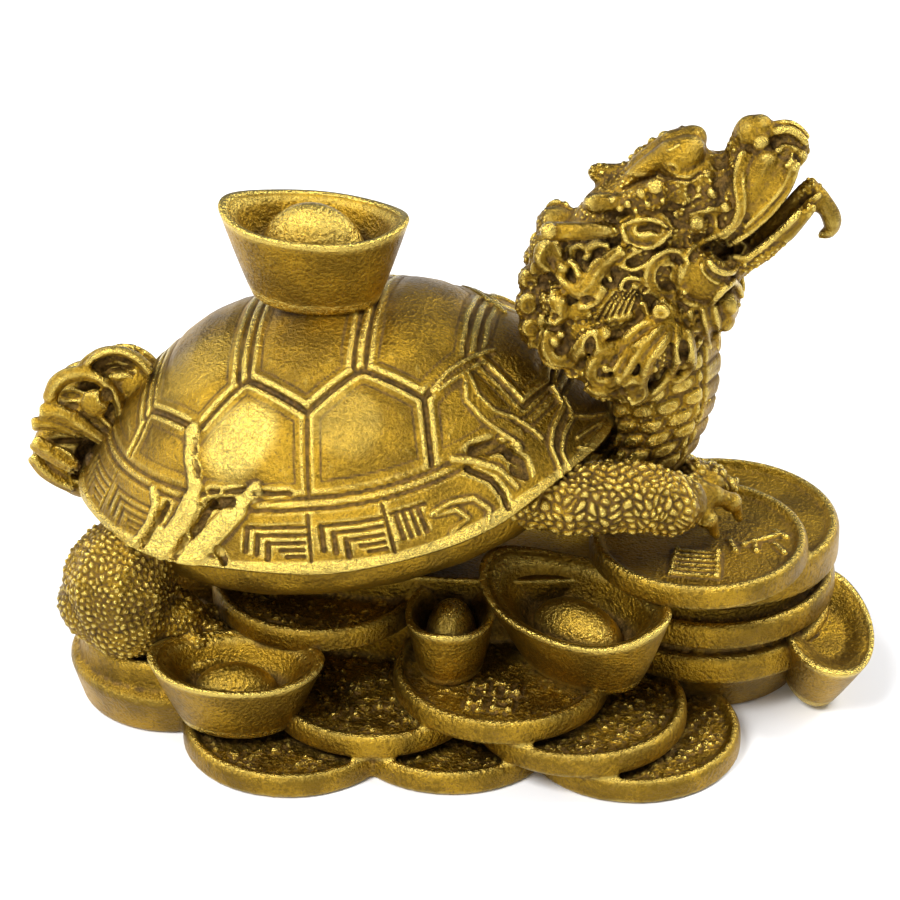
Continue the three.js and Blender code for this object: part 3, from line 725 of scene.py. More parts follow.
def along_rim(plan):
    """How far round the shell's edge a place is, in millimetres from its broadest point."""
    angles = np.linspace(-math.pi / 2, math.pi / 2, 721)
    step = np.hypot(SHELL_HALF_LENGTH * np.cos(angles), SHELL_HALF_WIDTH * np.sin(angles))
    length = np.concatenate([[0], np.cumsum((step[:-1] + step[1:]) / 2 * np.diff(angles))])
    length -= length[len(length) // 2]
    angle = np.arctan2(plan[:, 0] / SHELL_HALF_LENGTH, plan[:, 1] / SHELL_HALF_WIDTH)
    return np.interp(angle, angles, length) * 0.95


def shell_carving(points, normals):
    """Grooves, lips, pillows, keys and leaves on the dome, mirrored from side to side."""
    plan = np.stack([points[:, 0], abs(points[:, 1])], 1)
    spots = unrolled(plan)
    share = np.hypot(plan[:, 0] / SHELL_HALF_LENGTH, plan[:, 1] / SHELL_HALF_WIDTH)
    on_dome = (normals[:, 2] > 0.2) & (share < 0.999)
    to_band = (BAND - share) * SHARE_TO_MM
    borders = off_carved(spots, ZIGZAG)
    for path in (REAR_DOWN, FRONT_DOWN):
        borders = np.minimum(borders, off_carved(spots, path))
    down_groove = off_carved(spots, SIDE_DOWN)
    groove = borders.copy()
    pillow_edge = np.minimum(np.minimum(borders, abs(to_band)), down_groove)
    for x, half_width in CROSSES.items():
        to_cross = off_carved(spots, [(x, 0), (x, half_width)])
        groove = np.minimum(groove, abs(to_cross - CROSS_GAP) + 0.1)
        pillow_edge = np.minimum(pillow_edge, np.maximum(to_cross - CROSS_GAP, 0) + 0.15)
    in_scutes = eased(0, 0.3, to_band)
    rise = -GROOVE_DEPTH * (1 - eased(0.15, 0.42, groove))
    rise = np.minimum(rise, -SIDE_GROOVE_DEPTH * (1 - eased(0.1, 0.35, down_groove)))
    lip = eased(0.32, 0.5, pillow_edge) * (1 - eased(0.75, 1.1, pillow_edge))
    near_rise, middle_rise = PILLOW_RISES
    pillow = near_rise * eased(1.6, 3, pillow_edge) + middle_rise * eased(2.5, 8, pillow_edge)
    trough = TROUGH_DEPTH * (1 - eased(0, 0.3, abs(pillow_edge - TROUGH_INWARD)))
    rise = (rise + LIP_RISE * lip + pillow - trough) * in_scutes
    for line in BAND_LINES:
        rise -= 0.26 * (1 - eased(0.003, 0.0075, abs(share - line)))
    along = along_rim(plan)
    down = (share - KEY_TOP) * KEY_SCALE
    rise += keys(along, down, SIDE_KEYS, KEY_BARS, KEY_LEGS)
    rise += keys(along, down, COMB, COMB_BARS, COMB_LEGS)
    rise += REAR_KEYS_SHARE * keys(along, down, REAR_KEYS, KEY_BARS, KEY_LEGS)
    raised = np.zeros(len(points))
    for half_width, path in FILED:
        strap = 1 - eased(half_width * 0.8, half_width * 1.12, off_carved(spots, path))
        raised = np.maximum(raised, strap * FILED_RISE)
    for half_width, height, path in RAISED:
        raised = np.maximum(raised, ridge(spots, path, half_width, height))
    rise = np.where(raised > 0.02, np.maximum(rise, -0.05) + raised, rise)
    for half_width, depth, path in CUT:
        rise -= ridge(spots, path, half_width, depth + 0.2)
    rise += 0.25 * eased(0.972, 0.985, share) - 0.1
    return normals * (rise * on_dome)[:, None]


def shell_filed(points):
    """Where the file and the polishing cloth went: the straps, the rim and the proud scutes."""
    plan = np.stack([points[:, 0], abs(points[:, 1])], 1)
    spots = unrolled(plan)
    share = np.hypot(plan[:, 0] / SHELL_HALF_LENGTH, plan[:, 1] / SHELL_HALF_WIDTH)
    filed = 0.8 * eased(0.972, 0.982, share)
    for half_width, path in FILED:
        filed = np.maximum(filed, 1 - eased(half_width * 0.8, half_width, off_carved(spots, path)))
    for half_width, depth, path in CUT:
        filed *= eased(half_width * 0.7, half_width, off_carved(spots, path))
    for middle, reach, strength in RUBBED:
        off = np.linalg.norm((plan - middle) / reach, axis=1)
        filed = np.maximum(filed, strength * (1 - eased(0.75, 1.15, off)) * (points[:, 1] < 0))
    return filed


def shell_settled(points):
    """From the shell's own plan to its place: droop at the sides, then nose up, then onto the body."""
    x, y, z = points.T
    ahead = np.arctan2(abs(y) / SHELL_HALF_WIDTH, x / SHELL_HALF_LENGTH)
    sag = SAG * (1 - eased(0, 1, abs(ahead - SAG_ANGLE) / SAG_REACH))
    share = np.hypot(x / SHELL_HALF_LENGTH, y / SHELL_HALF_WIDTH)
    z = z - SHELL_DROOP * (y / SHELL_HALF_WIDTH) ** 2 - sag * share ** 6
    cosine, sine = math.cos(SHELL_PITCH), math.sin(SHELL_PITCH)
    return np.stack([x * cosine - z * sine, y, x * sine + z * cosine], 1) + np.array(SHELL_CENTRE)


dome = bmesh.new()
bmesh.ops.create_grid(dome, x_segments=SHELL_CELLS, y_segments=SHELL_CELLS, size=1)
for vert in dome.verts:
    x, y = vert.co.x, vert.co.y
    across, ahead = x * math.sqrt(1 - y * y / 2), y * math.sqrt(1 - x * x / 2)
    share = max(math.hypot(across, ahead), 1e-6)
    spread = (0.2 * share + 0.8 * math.sin(min(share, 1) * math.pi / 2)) / share
    place = np.array((across * SHELL_HALF_LENGTH, ahead * SHELL_HALF_WIDTH))
    wave = 0.004 * math.sin(9 * math.atan2(ahead, across))
    spread *= 1 - (wave + 0.004) * share ** 4
    height = SHELL_RISE * (1 - (share * spread) ** SHELL_FULLNESS)
    vert.co = (*(place * spread), height)
# The rim's edge and the shell's underside: each ring's drop and how far it draws in.
UNDER_STEPS = [(0.15, 1), (0.25, 0.994), (-0.2, 0.95), (-0.5, 0.8)]
edge_loop = [edge for edge in dome.edges if edge.is_boundary]
for drop, inward in UNDER_STEPS:
    made = bmesh.ops.extrude_edge_only(dome, edges=edge_loop)["geom"]
    ring = [part for part in made if isinstance(part, bmesh.types.BMVert)]
    edge_loop = [part for part in made if isinstance(part, bmesh.types.BMEdge) and part.is_boundary]
    bmesh.ops.scale(dome, vec=(inward, inward, 1), verts=ring)
    bmesh.ops.translate(dome, vec=(0, 0, -drop), verts=ring)
bmesh.ops.contextual_create(dome, geom=edge_loop)
bmesh.ops.triangulate(dome, faces=[face for face in dome.faces if len(face.verts) > 4])
bmesh.ops.recalc_face_normals(dome, faces=dome.faces)
shell_mesh = bpy.data.meshes.new("shell")
dome.to_mesh(shell_mesh)
dome.free()
finished(shell_mesh, SHELL_GRAIN, shell_carving, soften=0, settled=shell_settled, filed=shell_filed)
# THE BELLY AND THE LEGS
# Under the shell lies a smooth rounded belly. The legs grow out of it, covered with cast beads of skin,
# the near fore paw set on the stack and the hind feet on their coins, toes as rounded knuckles.
BELLY = {"centre": (-11, 0, 23.5), "radii": (27, 22.4, 8.6), "pitch": 11}
BELLY_GRAIN = 0.5
LEG_GRAIN = 0.24
HIND_SKIN = {"pitch": 0.95, "rise": 0.27, "warp": 0.3}
FORE_SKIN = {"pitch": 1.3, "rise": 0.42, "warp": 0.5}
NEAR_FINGERS_FROM = (27, 29.4)


def lump(form, centre, radii, pitch=0):
    """A rounded boss; pitch lifts its front end, in degrees."""
    raised = Matrix.Rotation(math.radians(-pitch), 4, "Y")
    shape = Matrix.Translation(centre) @ raised @ Matrix.Diagonal((*radii, 1))
    bmesh.ops.create_icosphere(form, subdivisions=3, radius=1, matrix=shape)


def rolled(form, strands):
    """Round strands through their points, each with radii that run along it, closed at both ends."""
    wire = bpy.data.curves.new("strands", "CURVE")
    wire.dimensions = "3D"
    wire.bevel_depth = 1
    wire.bevel_resolution = 2
    wire.resolution_u = 5
    wire.use_fill_caps = True
    for points, radii in strands:
        spline = wire.splines.new("BEZIER")
        spline.bezier_points.add(len(points) - 1)
        spread = np.interp(np.linspace(0, 1, len(points)), np.linspace(0, 1, len(radii)), radii)
        for knot, point, radius in zip(spline.bezier_points, points, spread):
            knot.co = point
            knot.radius = radius
            knot.handle_left_type = knot.handle_right_type = "AUTO"
        for point, radius in ((points[0], radii[0]), (points[-1], radii[-1])):
            shift = Matrix.Translation(point)
            bmesh.ops.create_icosphere(form, subdivisions=2, radius=radius, matrix=shift)
    holder = bpy.data.objects.new("strands", wire)
    bpy.context.scene.collection.objects.link(holder)
    tubes = bpy.data.meshes.new_from_object(holder.evaluated_get(bpy.context.evaluated_depsgraph_get()))
    form.from_mesh(tubes)
    bpy.data.objects.remove(holder)
    bpy.data.curves.remove(wire)
    bpy.data.meshes.remove(tubes)


EYE_POINT = LOOK_AT + towards_camera * CAMERA_DISTANCE


def sight(pixel):
    """The way from the camera through a place in the picture."""
    across, down = pixel
    aim = LOOK_AT + camera_right * (across - PICTURE / 2) * PIXELS_TO_MM
    aim += camera_up * (PICTURE / 2 - down) * PIXELS_TO_MM
    return (aim - EYE_POINT).normalized()


def shown_at(pixel, y):
    """The point at a picture place that lies so far beside the middle plane."""
    ray = sight(pixel)
    return EYE_POINT + ray * ((y - EYE_POINT.y) / ray.y)


def mirrored(point):
    """The same point on the other side of the middle plane."""
    return Vector((point[0], -point[1], point[2]))


def shown_on(pixel, height):
    """The point at a picture place that lies so high above the table."""
    ray = sight(pixel)
    return EYE_POINT + ray * ((height - EYE_POINT.z) / ray.z)


def beaded(points, normals, pitch, rise, warp):
    """Beads of skin close together, of many sizes."""
    border, lot = cobbles(points + warp * np.sin(1.4 * points[:, [1, 2, 0]]), pitch, 5)
    raised = rise * (eased(0, 0.6, border) ** 0.8 * (0.55 + 0.8 * lot) - 0.6)
    return normals * (raised * eased(0.1, 0.8, points[:, 2]))[:, None]


def fore_skin(points, normals):
    """The beads end at the smooth knuckles of the near paw."""
    bare = 1 - eased(*NEAR_FINGERS_FROM, points[:, 0]) * (points[:, 1] < 0)
    return beaded(points, normals, **FORE_SKIN) * bare[:, None]


def hind_skin(points, normals):
    """The hind legs' beads are smaller."""
    return beaded(points, normals, **HIND_SKIN)


belly = bmesh.new()
lump(belly, BELLY["centre"], BELLY["radii"], BELLY["pitch"])
finished(fused("belly", belly, BELLY_GRAIN), BELLY_GRAIN)

# The near arm comes forward and down to the stack, and the far one goes straight down to the heap.
NEAR_ARM = [(9, -11, 28.6), (15.5, -11.4, 28.8), (22.4, -10.2, 28.8), (26.4, -7.2, 26.6)]
FAR_ARM = [(8, 14, 26), (13, 17, 22), (16, 18.6, 16), (18, 19, 11.4)]
FAR_FINGERS = [(23, 16, 9.4), (24, 19, 9.2), (22.4, 22, 9.2)]
NEAR_ARM_LUMPS = [((18.6, -11.8, 29), (4.6, 3.4, 3.6)), ((25, -9.4, 27.2), (3.6, 3, 3.2))]
# The back of the near paw by picture place, with its height above the table and its radii.
NEAR_HAND = [
    ((704, 480), 25, (2.6, 2.6, 1.9)),
    ((690, 470), 26, (1.8, 1.6, 1.5)),
    ((694, 500), 25, (2.4, 2, 2)),
]
# The near paw's fingers by picture place: knuckle, middle and tip, each with its height above the table.
NEAR_FINGERS = [
    [((672, 496), 25.8), ((692, 508), 24.8), ((707, 519), 23.6), ((716, 535), 21.2)],
    [((690, 490), 26), ((712, 496), 25.2), ((731, 502), 24), ((739, 518), 21.4)],
    [((694, 474), 26), ((712, 479), 25.2), ((728, 486), 24.2), ((734, 494), 22.6)],
    [((676, 470), 25.4), ((694, 468), 24.8), ((706, 472), 23.6), ((714, 480), 21.6)],
]


def finger(form, knots):
    """A knuckled finger that ends in a blunt nail."""
    rolled(form, [(knots, (1.9, 1.25, 0.9, 0.55))])
    lump(form, knots[1], (1.5, 1.4, 1.3))
    lump(form, knots[2], (1.25, 1.15, 1.15))


fore_legs = bmesh.new()
rolled(fore_legs, [(NEAR_ARM, (3.7, 4.2, 4.1, 3)), (FAR_ARM, (4.8, 4.8, 4.6, 3.8))])
for centre, radii in NEAR_ARM_LUMPS:
    lump(fore_legs, centre, radii)
for pixel, height, radii in NEAR_HAND:
    lump(fore_legs, shown_on(pixel, height), radii)
for places in NEAR_FINGERS:
    finger(fore_legs, [shown_on(pixel, height) for pixel, height in places])
for tip in FAR_FINGERS:
    knots = [Vector(FAR_ARM[-1]).lerp(Vector(tip), share) for share in (0, 0.4, 0.75, 1)]
    finger(fore_legs, knots)
finished(fused("fore_legs", fore_legs, LEG_GRAIN), LEG_GRAIN, fore_skin)

HIND = {
    "thigh": [(-32.5, -13, 19.6), (-34.4, -15.2, 16.4), (-33.8, -15.6, 12.8)],
    "heel": (-36, -14.8, 13.2),
    "foot": [(-33.8, -15.6, 12.8), (-28.6, -14.6, 11.6)],
    "toes": [(-25, -11.8, 10.6), (-24.6, -14.4, 10.4), (-26, -17, 10.2)],
}


def hind_leg(form, side):
    """Thigh, heel and foot with three blunt toes."""
    def to(point):
        return (point[0], -side * point[1], point[2])

    sole = to(HIND["foot"][-1])
    rolled(form, [([to(point) for point in HIND["thigh"]], (5.2, 6.7, 5.8)),
                  ([to(point) for point in HIND["foot"]], (4.8, 3.4))])
    rolled(form, [((sole, to(tip)), (2.2, 1.2)) for tip in HIND["toes"]])
    lump(form, to(HIND["heel"]), (5.8, 5.4, 4.8))
    for tip in HIND["toes"]:
        lump(form, to(tip), (1.5, 1.2, 1.2))


hind_legs = bmesh.new()
hind_leg(hind_legs, -1)
hind_leg(hind_legs, 1)
finished(fused("hind_legs", hind_legs, LEG_GRAIN), LEG_GRAIN, hind_skin)

# THE TAIL
# Three tiers of flame locks curl up and back from under the rear of the shell: an arch over a hollow, a
# ring round a smooth egg, and a tuft below. Cast in one, the high edges filed.
TAIL_GRAIN = 0.22
# Bulk and locks by picture place and the distance beside the middle plane.
TAIL_LUMPS = [
    ((117, 368), 0, (3.8, 2.2, 2.5), 0), ((84, 404), 0, (3.7, 2.5, 3.4), 0),
    ((66, 450), 0, (3.9, 2.5, 4), 0),
    ((80, 476), 0, (3, 2.2, 2.4), -30), ((116, 424), 0, (4.4, 2.8, 4.2), 30),
    ((134, 384), 0, (3.4, 2.4, 3), 0),
    ((95, 403), 2.9, (1.6, 0.8, 1.8), 0), ((92, 460), 3.6, (0.45, 0.45, 0.45), 0),
]
TAIL_LOCKS = [
    ([(78, 378), (90, 362), (112, 353), (132, 358), (148, 369)], 0.9, (0.8, 0.9, 0.9, 0.9, 0.7)),
    ([(150, 372), (137, 359), (117, 351), (97, 356), (84, 368)], 2.2, (0.5, 0.55, 0.55, 0.5, 0.4)),
    ([(50, 398), (58, 382), (76, 374), (96, 377), (110, 389), (119, 404), (121, 416)], 2.6,
     (0.9, 1, 0.9, 0.6, 0.5, 0.45, 0.4)),
    ([(44, 412), (60, 413), (77, 422), (92, 433), (107, 444)], 3.1, (1, 1.1, 0.9, 0.6, 0.3)),
    ([(98, 414), (108, 424), (120, 436)], 2.9, (0.3, 0.35, 0.3)),
    ([(35, 424), (48, 423), (64, 428), (78, 436)], 2.8, (0.8, 0.9, 0.6, 0.3)),
    ([(36, 443), (47, 450), (62, 460), (78, 471)], 3.1, (0.9, 1.1, 0.9, 0.35)),
    ([(34, 458), (44, 470), (57, 480), (72, 488)], 2.2, (0.8, 0.9, 0.7, 0.5)),
    ([(58, 447), (68, 453), (80, 464)], 3, (0.3, 0.35, 0.25)),
]
TAIL_FLUTES = 3.4
TAIL_SLIM = 0.62
# The locks of the far side lie a little lower than the near ones.
FAR_DROP = Vector((0, 0, 2))
# Hollows by picture place, with half widths in picture points and a depth.
TAIL_HOLLOWS = [
    ((115, 366), (23, 9), 0.9), ((70, 395), (14, 6), 0.4), ((88, 387), (14, 5), 0.45),
    ((106, 396), (8, 9), 0.4),
    ((72, 406), (8, 5), 0.3), ((70, 441), (20, 4), 1), ((88, 456), (13, 15), 1.8),
    ((80, 474), (10, 7), 1.2),
]
# Cuts along the arch of the top lock.
TAIL_CUTS = [
    [(96, 362), (112, 357), (130, 363)], [(98, 369), (114, 364), (132, 369)],
    [(104, 375), (119, 370), (134, 374)],
]


def fluted(pixels, apart):
    """A lock's path three times over, side by side, so that it is cast with two grooves."""
    ahead = np.gradient(np.array(pixels, float), axis=0)
    aside = np.stack([-ahead[:, 1], ahead[:, 0]], 1) / np.linalg.norm(ahead, axis=1)[:, None]
    return [(np.array(pixels) + aside * apart * side).tolist() for side in (-1, 0, 1)]


def pixel_places(points):
    """Where each point shows in the picture; those on the far side, where their twins do."""
    folded = np.stack([points[:, 0], -abs(points[:, 1]), points[:, 2]], 1)
    from_eye = folded - np.array(EYE_POINT)
    scale = CAMERA_DISTANCE / -(from_eye @ np.array(towards_camera)) / PIXELS_TO_MM
    across = from_eye @ np.array(camera_right) * scale
    down = -(from_eye @ np.array(camera_up)) * scale
    return np.stack([across, down], 1) + PICTURE / 2


def tail_carving(points, normals):
    """Hollows sunk between the locks."""
    places = pixel_places(points)
    rise = np.zeros(len(points))
    for middle, reach, depth in TAIL_HOLLOWS:
        rise -= depth * (1 - eased(0.5, 1.1, np.linalg.norm((places - middle) / reach, axis=1)))
    for path in TAIL_CUTS:
        rise -= 0.5 * (1 - eased(0.6, 2.2, off_path(places, path)))
    return normals * (rise * (normals @ np.array(towards_camera) + 0.3).clip(0, 1))[:, None]


tail = bmesh.new()
for pixel, out, radii, pitch in TAIL_LUMPS:
    near = shown_at(pixel, -out)
    lump(tail, near, radii, pitch)
    if out:
        lump(tail, mirrored(near) - FAR_DROP, radii, pitch)
tail_locks = []
for pixels, out, radii in TAIL_LOCKS:
    thick = max(radii)
    for side, path in zip((-1, 0, 1), fluted(pixels, TAIL_FLUTES * thick)):
        near = [shown_at(pixel, -out - (0.3 if side == 0 else 0)) for pixel in path]
        slim = tuple(radius * TAIL_SLIM for radius in radii)
        tail_locks += [(near, slim), ([mirrored(point) - FAR_DROP for point in near], slim)]
rolled(tail, tail_locks)
finished(fused("tail", tail, TAIL_GRAIN), TAIL_GRAIN, tail_carving, soften=1)

# THE NECK
# A short thick neck rises to the head: broad belly plates run down its front and rounded scales cover
# its sides.
NECK = [(4, 0, 24.6), (13, 0, 25), (20.6, 0, 28.4), (23.2, 0, 36.6), (22.4, 0, 47)]
NECK_GRAIN = 0.26
PLATE_HALF_ANGLE = 34
PLATE_HEIGHT = 2.6
SCALE_ANGLE = 30
SCALE_HEIGHT = 2.15


def scaled_skin(points, normals):
    """Broad plates down the front, and rows of rounded scales round the sides and the back."""
    middle = np.interp(points[:, 2], [knot[2] for knot in NECK[2:]], [knot[0] for knot in NECK[2:]])
    angle = np.degrees(np.arctan2(points[:, 1], points[:, 0] - middle))
    height = points[:, 2] + 0.03 * abs(angle)
    row = np.floor(height / SCALE_HEIGHT)
    down = height / SCALE_HEIGHT - row - 0.5
    across = (angle / SCALE_ANGLE + 0.5 * (row % 2)) % 1 - 0.5
    out = (abs(2 * across) ** 2.4 + abs(2 * down) ** 2.4) ** (1 / 2.4)
    scale = 0.5 * (1 - eased(0.5, 1.05, out)) - 0.3 * down
    plate_down = abs((points[:, 2] / PLATE_HEIGHT) % 1 - 0.5) * 2
    plate = 0.5 * np.sqrt(1 - plate_down ** 3 * 0.98)
    edge = eased(PLATE_HALF_ANGLE - 5, PLATE_HALF_ANGLE + 5, abs(angle))
    groove = 0.4 * (1 - eased(1, 6, abs(abs(angle) - PLATE_HALF_ANGLE)))
    rise = plate * (1 - edge) + scale * edge - groove - 0.2
    return normals * rise[:, None]


neck = bmesh.new()
rolled(neck, [(NECK, (5.6, 5.4, 4.5, 6, 6.8))])
finished(fused("neck", neck, NECK_GRAIN), NECK_GRAIN, scaled_skin)

# THE HEAD
# A dragon's head looks up with its mouth open: swept horns and ears, a round forehead, almond eyes, a
# curled nose and chin, long whiskers, and a mane of hooked locks. Everything is cast in one and its high
# lines are filed.
HEAD_GRAIN = 0.22
CORE_GRAIN = 0.4

# The bulk of the head: bosses and rolls in the middle plane, then those of each side, by picture place
# and the distance beside the middle plane.
MIDDLE_LUMPS = [
    ((20.5, 0, 55), (9, 6.8, 7.2), 40),
    ((18, 0, 49.6), (7.6, 7.6, 8.2), 20),
    ((26.2, 0, 49.4), (4.4, 5.2, 6), 55),
]
MIDDLE_ROLLS = [
    ([(25, 0, 60), (31.4, 0, 63), (36, 0, 66)], (5.2, 3.6, 1.8)),
    (NECK[3:], (6, 6.4)),
]
PLACED_MIDDLE_ROLLS = [
    ([(712, 266), (745, 256), (778, 234), (808, 204)], 0, (3.5, 1.9, 1.2, 0.9)),
    ([(750, 246), (782, 216), (806, 188)], 0, (1, 1, 0.9)),
    ([(811, 184), (823, 202), (832, 220), (829, 232), (821, 235)], 0, (0.9, 1.1, 1.15, 0.8, 0.6)),
    ([(739, 148), (753, 131), (760, 128)], 0, (1.5, 2, 1.6)),
    ([(770, 136), (788, 136), (802, 150)], 0, (1, 1.1, 1.1)),
]
SIDE_LUMPS = [
    ((682, 155), 1.2, (2.9, 1.9, 1.85), 40),
    ((664, 162), 0.8, (4, 1.6, 1.5), 42),
    ((682, 187), 2.8, (1.7, 1.3, 1.7), 0),
    ((655, 190), 4.9, (1.5, 1.3, 1.2), 20),
    ((637, 198), 5.2, (1.7, 1.3, 1.2), 12),
    ((647, 232), 6, (2.4, 1.2, 1.5), 0),
    ((698, 224), 4.4, (1.5, 1, 1.3), 20),
    ((704, 275), 5.2, (2.9, 1.7, 3), 30),
    ((729, 303), 3.3, (1.2, 1.1, 1.5), 20),
    ((723, 320), 2.6, (1.4, 1.4, 1.4), 0),
    ((548, 250), 3, (2.2, 2, 2.2), 0),
    ((542, 262), 3.6, (1.6, 1.6, 1.8), 0),
    ((535, 280), 2.6, (2, 2.2, 2), 0),
    ((534, 304), 2.6, (2.2, 2.4, 2.2), 0),
    ((536, 328), 3, (2.1, 2.2, 2.2), 0),
    ((560, 300), 5.4, (2.4, 2, 2.4), 0),
    ((562, 340), 5, (2.4, 2.2, 2.2), 0),
    ((588, 330), 6.4, (2.8, 2, 2.6), 0),
    ((582, 364), 5.4, (2.2, 2.2, 2), 0),
    ((606, 358), 6.6, (2.4, 2, 2.4), 0),
    ((604, 384), 6.2, (2.2, 2, 2), 0),
    ((630, 366), 7, (2.6, 1.8, 2.4), 0),
    ((626, 388), 6.6, (2, 1.8, 1.6), 0),
    ((652, 350), 7, (2.4, 1.8, 2.6), 0),
    ((675, 345), 5.6, (2.2, 1.8, 2.4), 0),
]
SIDE_ROLLS = [
    ([(722, 228), (752, 208), (777, 182), (790, 166)], 2.5, (1.9, 1.7, 1.3, 1.1)),
    ([(735, 215), (752, 185), (768, 160)], 2.2, (2.4, 2, 1.4)),
    ([(716, 270), (748, 262), (782, 238), (810, 208)], 2.2, (2, 1.2, 1, 0.8)),
    ([(628, 184), (650, 166), (672, 152)], 1.2, (1.2, 1.3, 1.5)),
]
HORNS_AND_EARS = [
    ([(652, 197), (622, 201), (594, 203)], -5, (1.7, 1.05, 1.3)),
    ([(645, 168), (618, 171), (597, 172)], 3, (1.5, 1, 1.15)),
    ([(612, 230), (580, 231), (550, 231)], -6.6, (1, 1, 1.2)),
    ([(590, 214), (562, 217), (547, 225)], 4.2, (1, 0.9, 1.1)),
]
core = bmesh.new()
for centre, radii, pitch in MIDDLE_LUMPS:
    lump(core, centre, radii, pitch)
rolled(core, MIDDLE_ROLLS)
for pixels, y, radii in [*PLACED_MIDDLE_ROLLS, *HORNS_AND_EARS]:
    rolled(core, [([shown_at(pixel, y) for pixel in pixels], radii)])
for pixel, out, radii, pitch in SIDE_LUMPS:
    lump(core, shown_at(pixel, -out), radii, pitch)
    lump(core, mirrored(shown_at(pixel, -out)), radii, pitch)
for pixels, out, radii in SIDE_ROLLS:
    near = [shown_at(pixel, -out) for pixel in pixels]
    rolled(core, [(near, radii), ([mirrored(point) for point in near], radii)])
core_skin = fused("head_core", core, CORE_GRAIN)
core_points = read(core_skin.vertices, "co", np.float64, 3)
core_skin.calc_loop_triangles()
core_corners = read(core_skin.loop_triangles, "vertices", np.int32, 3)
core_tree = BVHTree.FromPolygons(core_points.tolist(), core_corners.tolist(), all_triangles=True)

# Locks and bosses keep to the near side; the far side has its own copy of each.
NEAR_SIDE = 0.7


def drawn(pixels, lift=0.1):
    """Points on the head where the photograph shows them, standing out from the core by the lift."""
    points = []
    for pixel in pixels:
        point, normal, _, _ = core_tree.ray_cast(EYE_POINT, sight(pixel))
        if point is None:
            point, normal, _, _ = core_tree.find_nearest(shown_at(pixel, 0))
        point = point + normal * lift
        point.y = min(point.y, -NEAR_SIDE)
        points.append(point)
    return points


CURL_STEPS = 8
CURL_SWEEP = 420
CURL_CLOSES = 0.75


def curled(middle, size, start, sense):
    """A curl's path in the picture: a turn and a bit, winding inwards."""
    path = []
    for step in range(CURL_STEPS + 1):
        share = step / CURL_STEPS
        angle = math.radians(start + sense * CURL_SWEEP * share)
        reach = size * (1 - CURL_CLOSES * share)
        path.append((middle[0] + reach * math.cos(angle), middle[1] - reach * math.sin(angle)))
    return path


# Strands on the near side of the face and mane, as picture places, each with its radii and how far its
# middle stands out.
FACE_STRANDS = {
    "whisker": ([(743, 152), (738, 168), (738, 185), (740, 203), (736, 218), (727, 229), (712, 236),
                 (700, 241), (691, 250), (687, 260)], (0.5, 0.42, 0.4), 0.3),
    "whisker_inner": ([(751, 157), (745, 168), (744, 183), (745, 200), (742, 214), (733, 228), (722, 237)],
                      (0.4, 0.3, 0.3), 0.25),
    "upper_lip": ([(728, 243), (742, 234), (757, 222), (772, 207), (785, 190), (793, 175), (796, 165)],
                  (0.45, 0.5, 0.4), 0.2),
    "upper_lip_line": ([(744, 226), (757, 214), (770, 201), (781, 187), (789, 173), (791, 163)],
                       (0.3, 0.3), 0.15),
    "nostril": ([(776, 152), (786, 147), (795, 150), (798, 160), (794, 168)], (0.4, 0.4), 0.2),
    "nostril_inner": ([(783, 157), (789, 155), (791, 161), (787, 166)], (0.28, 0.28), 0.2),
    "snout_top": ([(775, 131), (788, 128), (798, 131), (805, 140)], (0.6, 0.5), 0),
    "cheek_ring": ([(690, 214), (703, 211), (713, 217), (715, 227), (708, 235)], (0.28, 0.28), 0.2),
    "brow_mark": ([(702, 213), (708, 208), (716, 208), (718, 212)], (0.35, 0.35), 0.2),
    "upper_lid": ([(621, 221), (632, 219), (644, 214), (655, 216), (664, 222), (670, 228)],
                  (0.45, 0.5, 0.3), 0.35),
    "lid_line": ([(625, 228), (636, 223), (648, 221), (658, 224), (665, 229)], (0.25, 0.3, 0.2), 0.45),
    "lower_lid": ([(623, 232), (630, 240), (640, 246), (650, 245), (660, 240), (668, 232)],
                  (0.4, 0.5, 0.3), 0.3),
    "eye_tail": ([(619, 219), (621, 230), (626, 241), (636, 249)], (0.35, 0.3), 0.2),
    "forehead_loop": ([(666, 166), (672, 164), (678, 170), (674, 173), (668, 169)], (0.2, 0.2), 0.1),
    "forehead_mark": ([(668, 151), (674, 149), (679, 145)], (0.2, 0.2), 0.1),
    "spiral": ([(686, 256), (672, 249), (660, 252), (650, 262), (646, 275), (650, 288), (662, 297),
                (676, 297), (686, 290)], (0.36, 0.4, 0.36), 0.3),
    "spiral_inner": ([(668, 257), (658, 263), (654, 272), (656, 283), (664, 290), (676, 291)],
                     (0.28, 0.28), 0.25),
    "spiral_hook": ([(664, 263), (671, 262), (674, 268), (671, 274), (676, 279), (682, 275), (683, 267)],
                    (0.32, 0.36), 0.3),
    "leaf": ([(620, 287), (625, 279), (634, 276), (644, 280), (650, 288), (642, 292), (630, 293),
             (621, 289)], (0.3, 0.3), 0.3),
    "leaf_upper": ([(622, 264), (630, 255), (641, 249)], (0.3, 0.3), 0.3),
    "leaf_lower": ([(622, 265), (634, 268), (646, 262)], (0.3, 0.3), 0.3),
    "leaf_curl": ([(619, 262), (611, 264), (608, 272), (611, 280)], (0.3, 0.35), 0.3),
    "jowl_rim": ([(681, 286), (685, 298), (695, 304), (706, 303), (715, 296), (724, 287), (735, 283),
                 (742, 281)], (0.45, 0.45), 0.2),
    "jowl_edge": ([(690, 262), (684, 274), (681, 286)], (0.3, 0.35), 0.2),
    "jowl_fold": ([(707, 249), (709, 262), (716, 270), (727, 273), (736, 268)], (0.35, 0.45, 0.35), 0.25),
    "jowl_fringe": ([(701, 256), (703, 270), (712, 280), (724, 284)], (0.22, 0.25), 0.1),
    "tooth": ([(741, 240), (746, 247), (744, 255)], (0.4, 0.2), 0.3),
    "lower_lip": ([(728, 257), (745, 259), (757, 252), (770, 242), (783, 231), (797, 216), (812, 202),
                  (818, 195)], (0.45, 0.5, 0.45), 0.2),
}
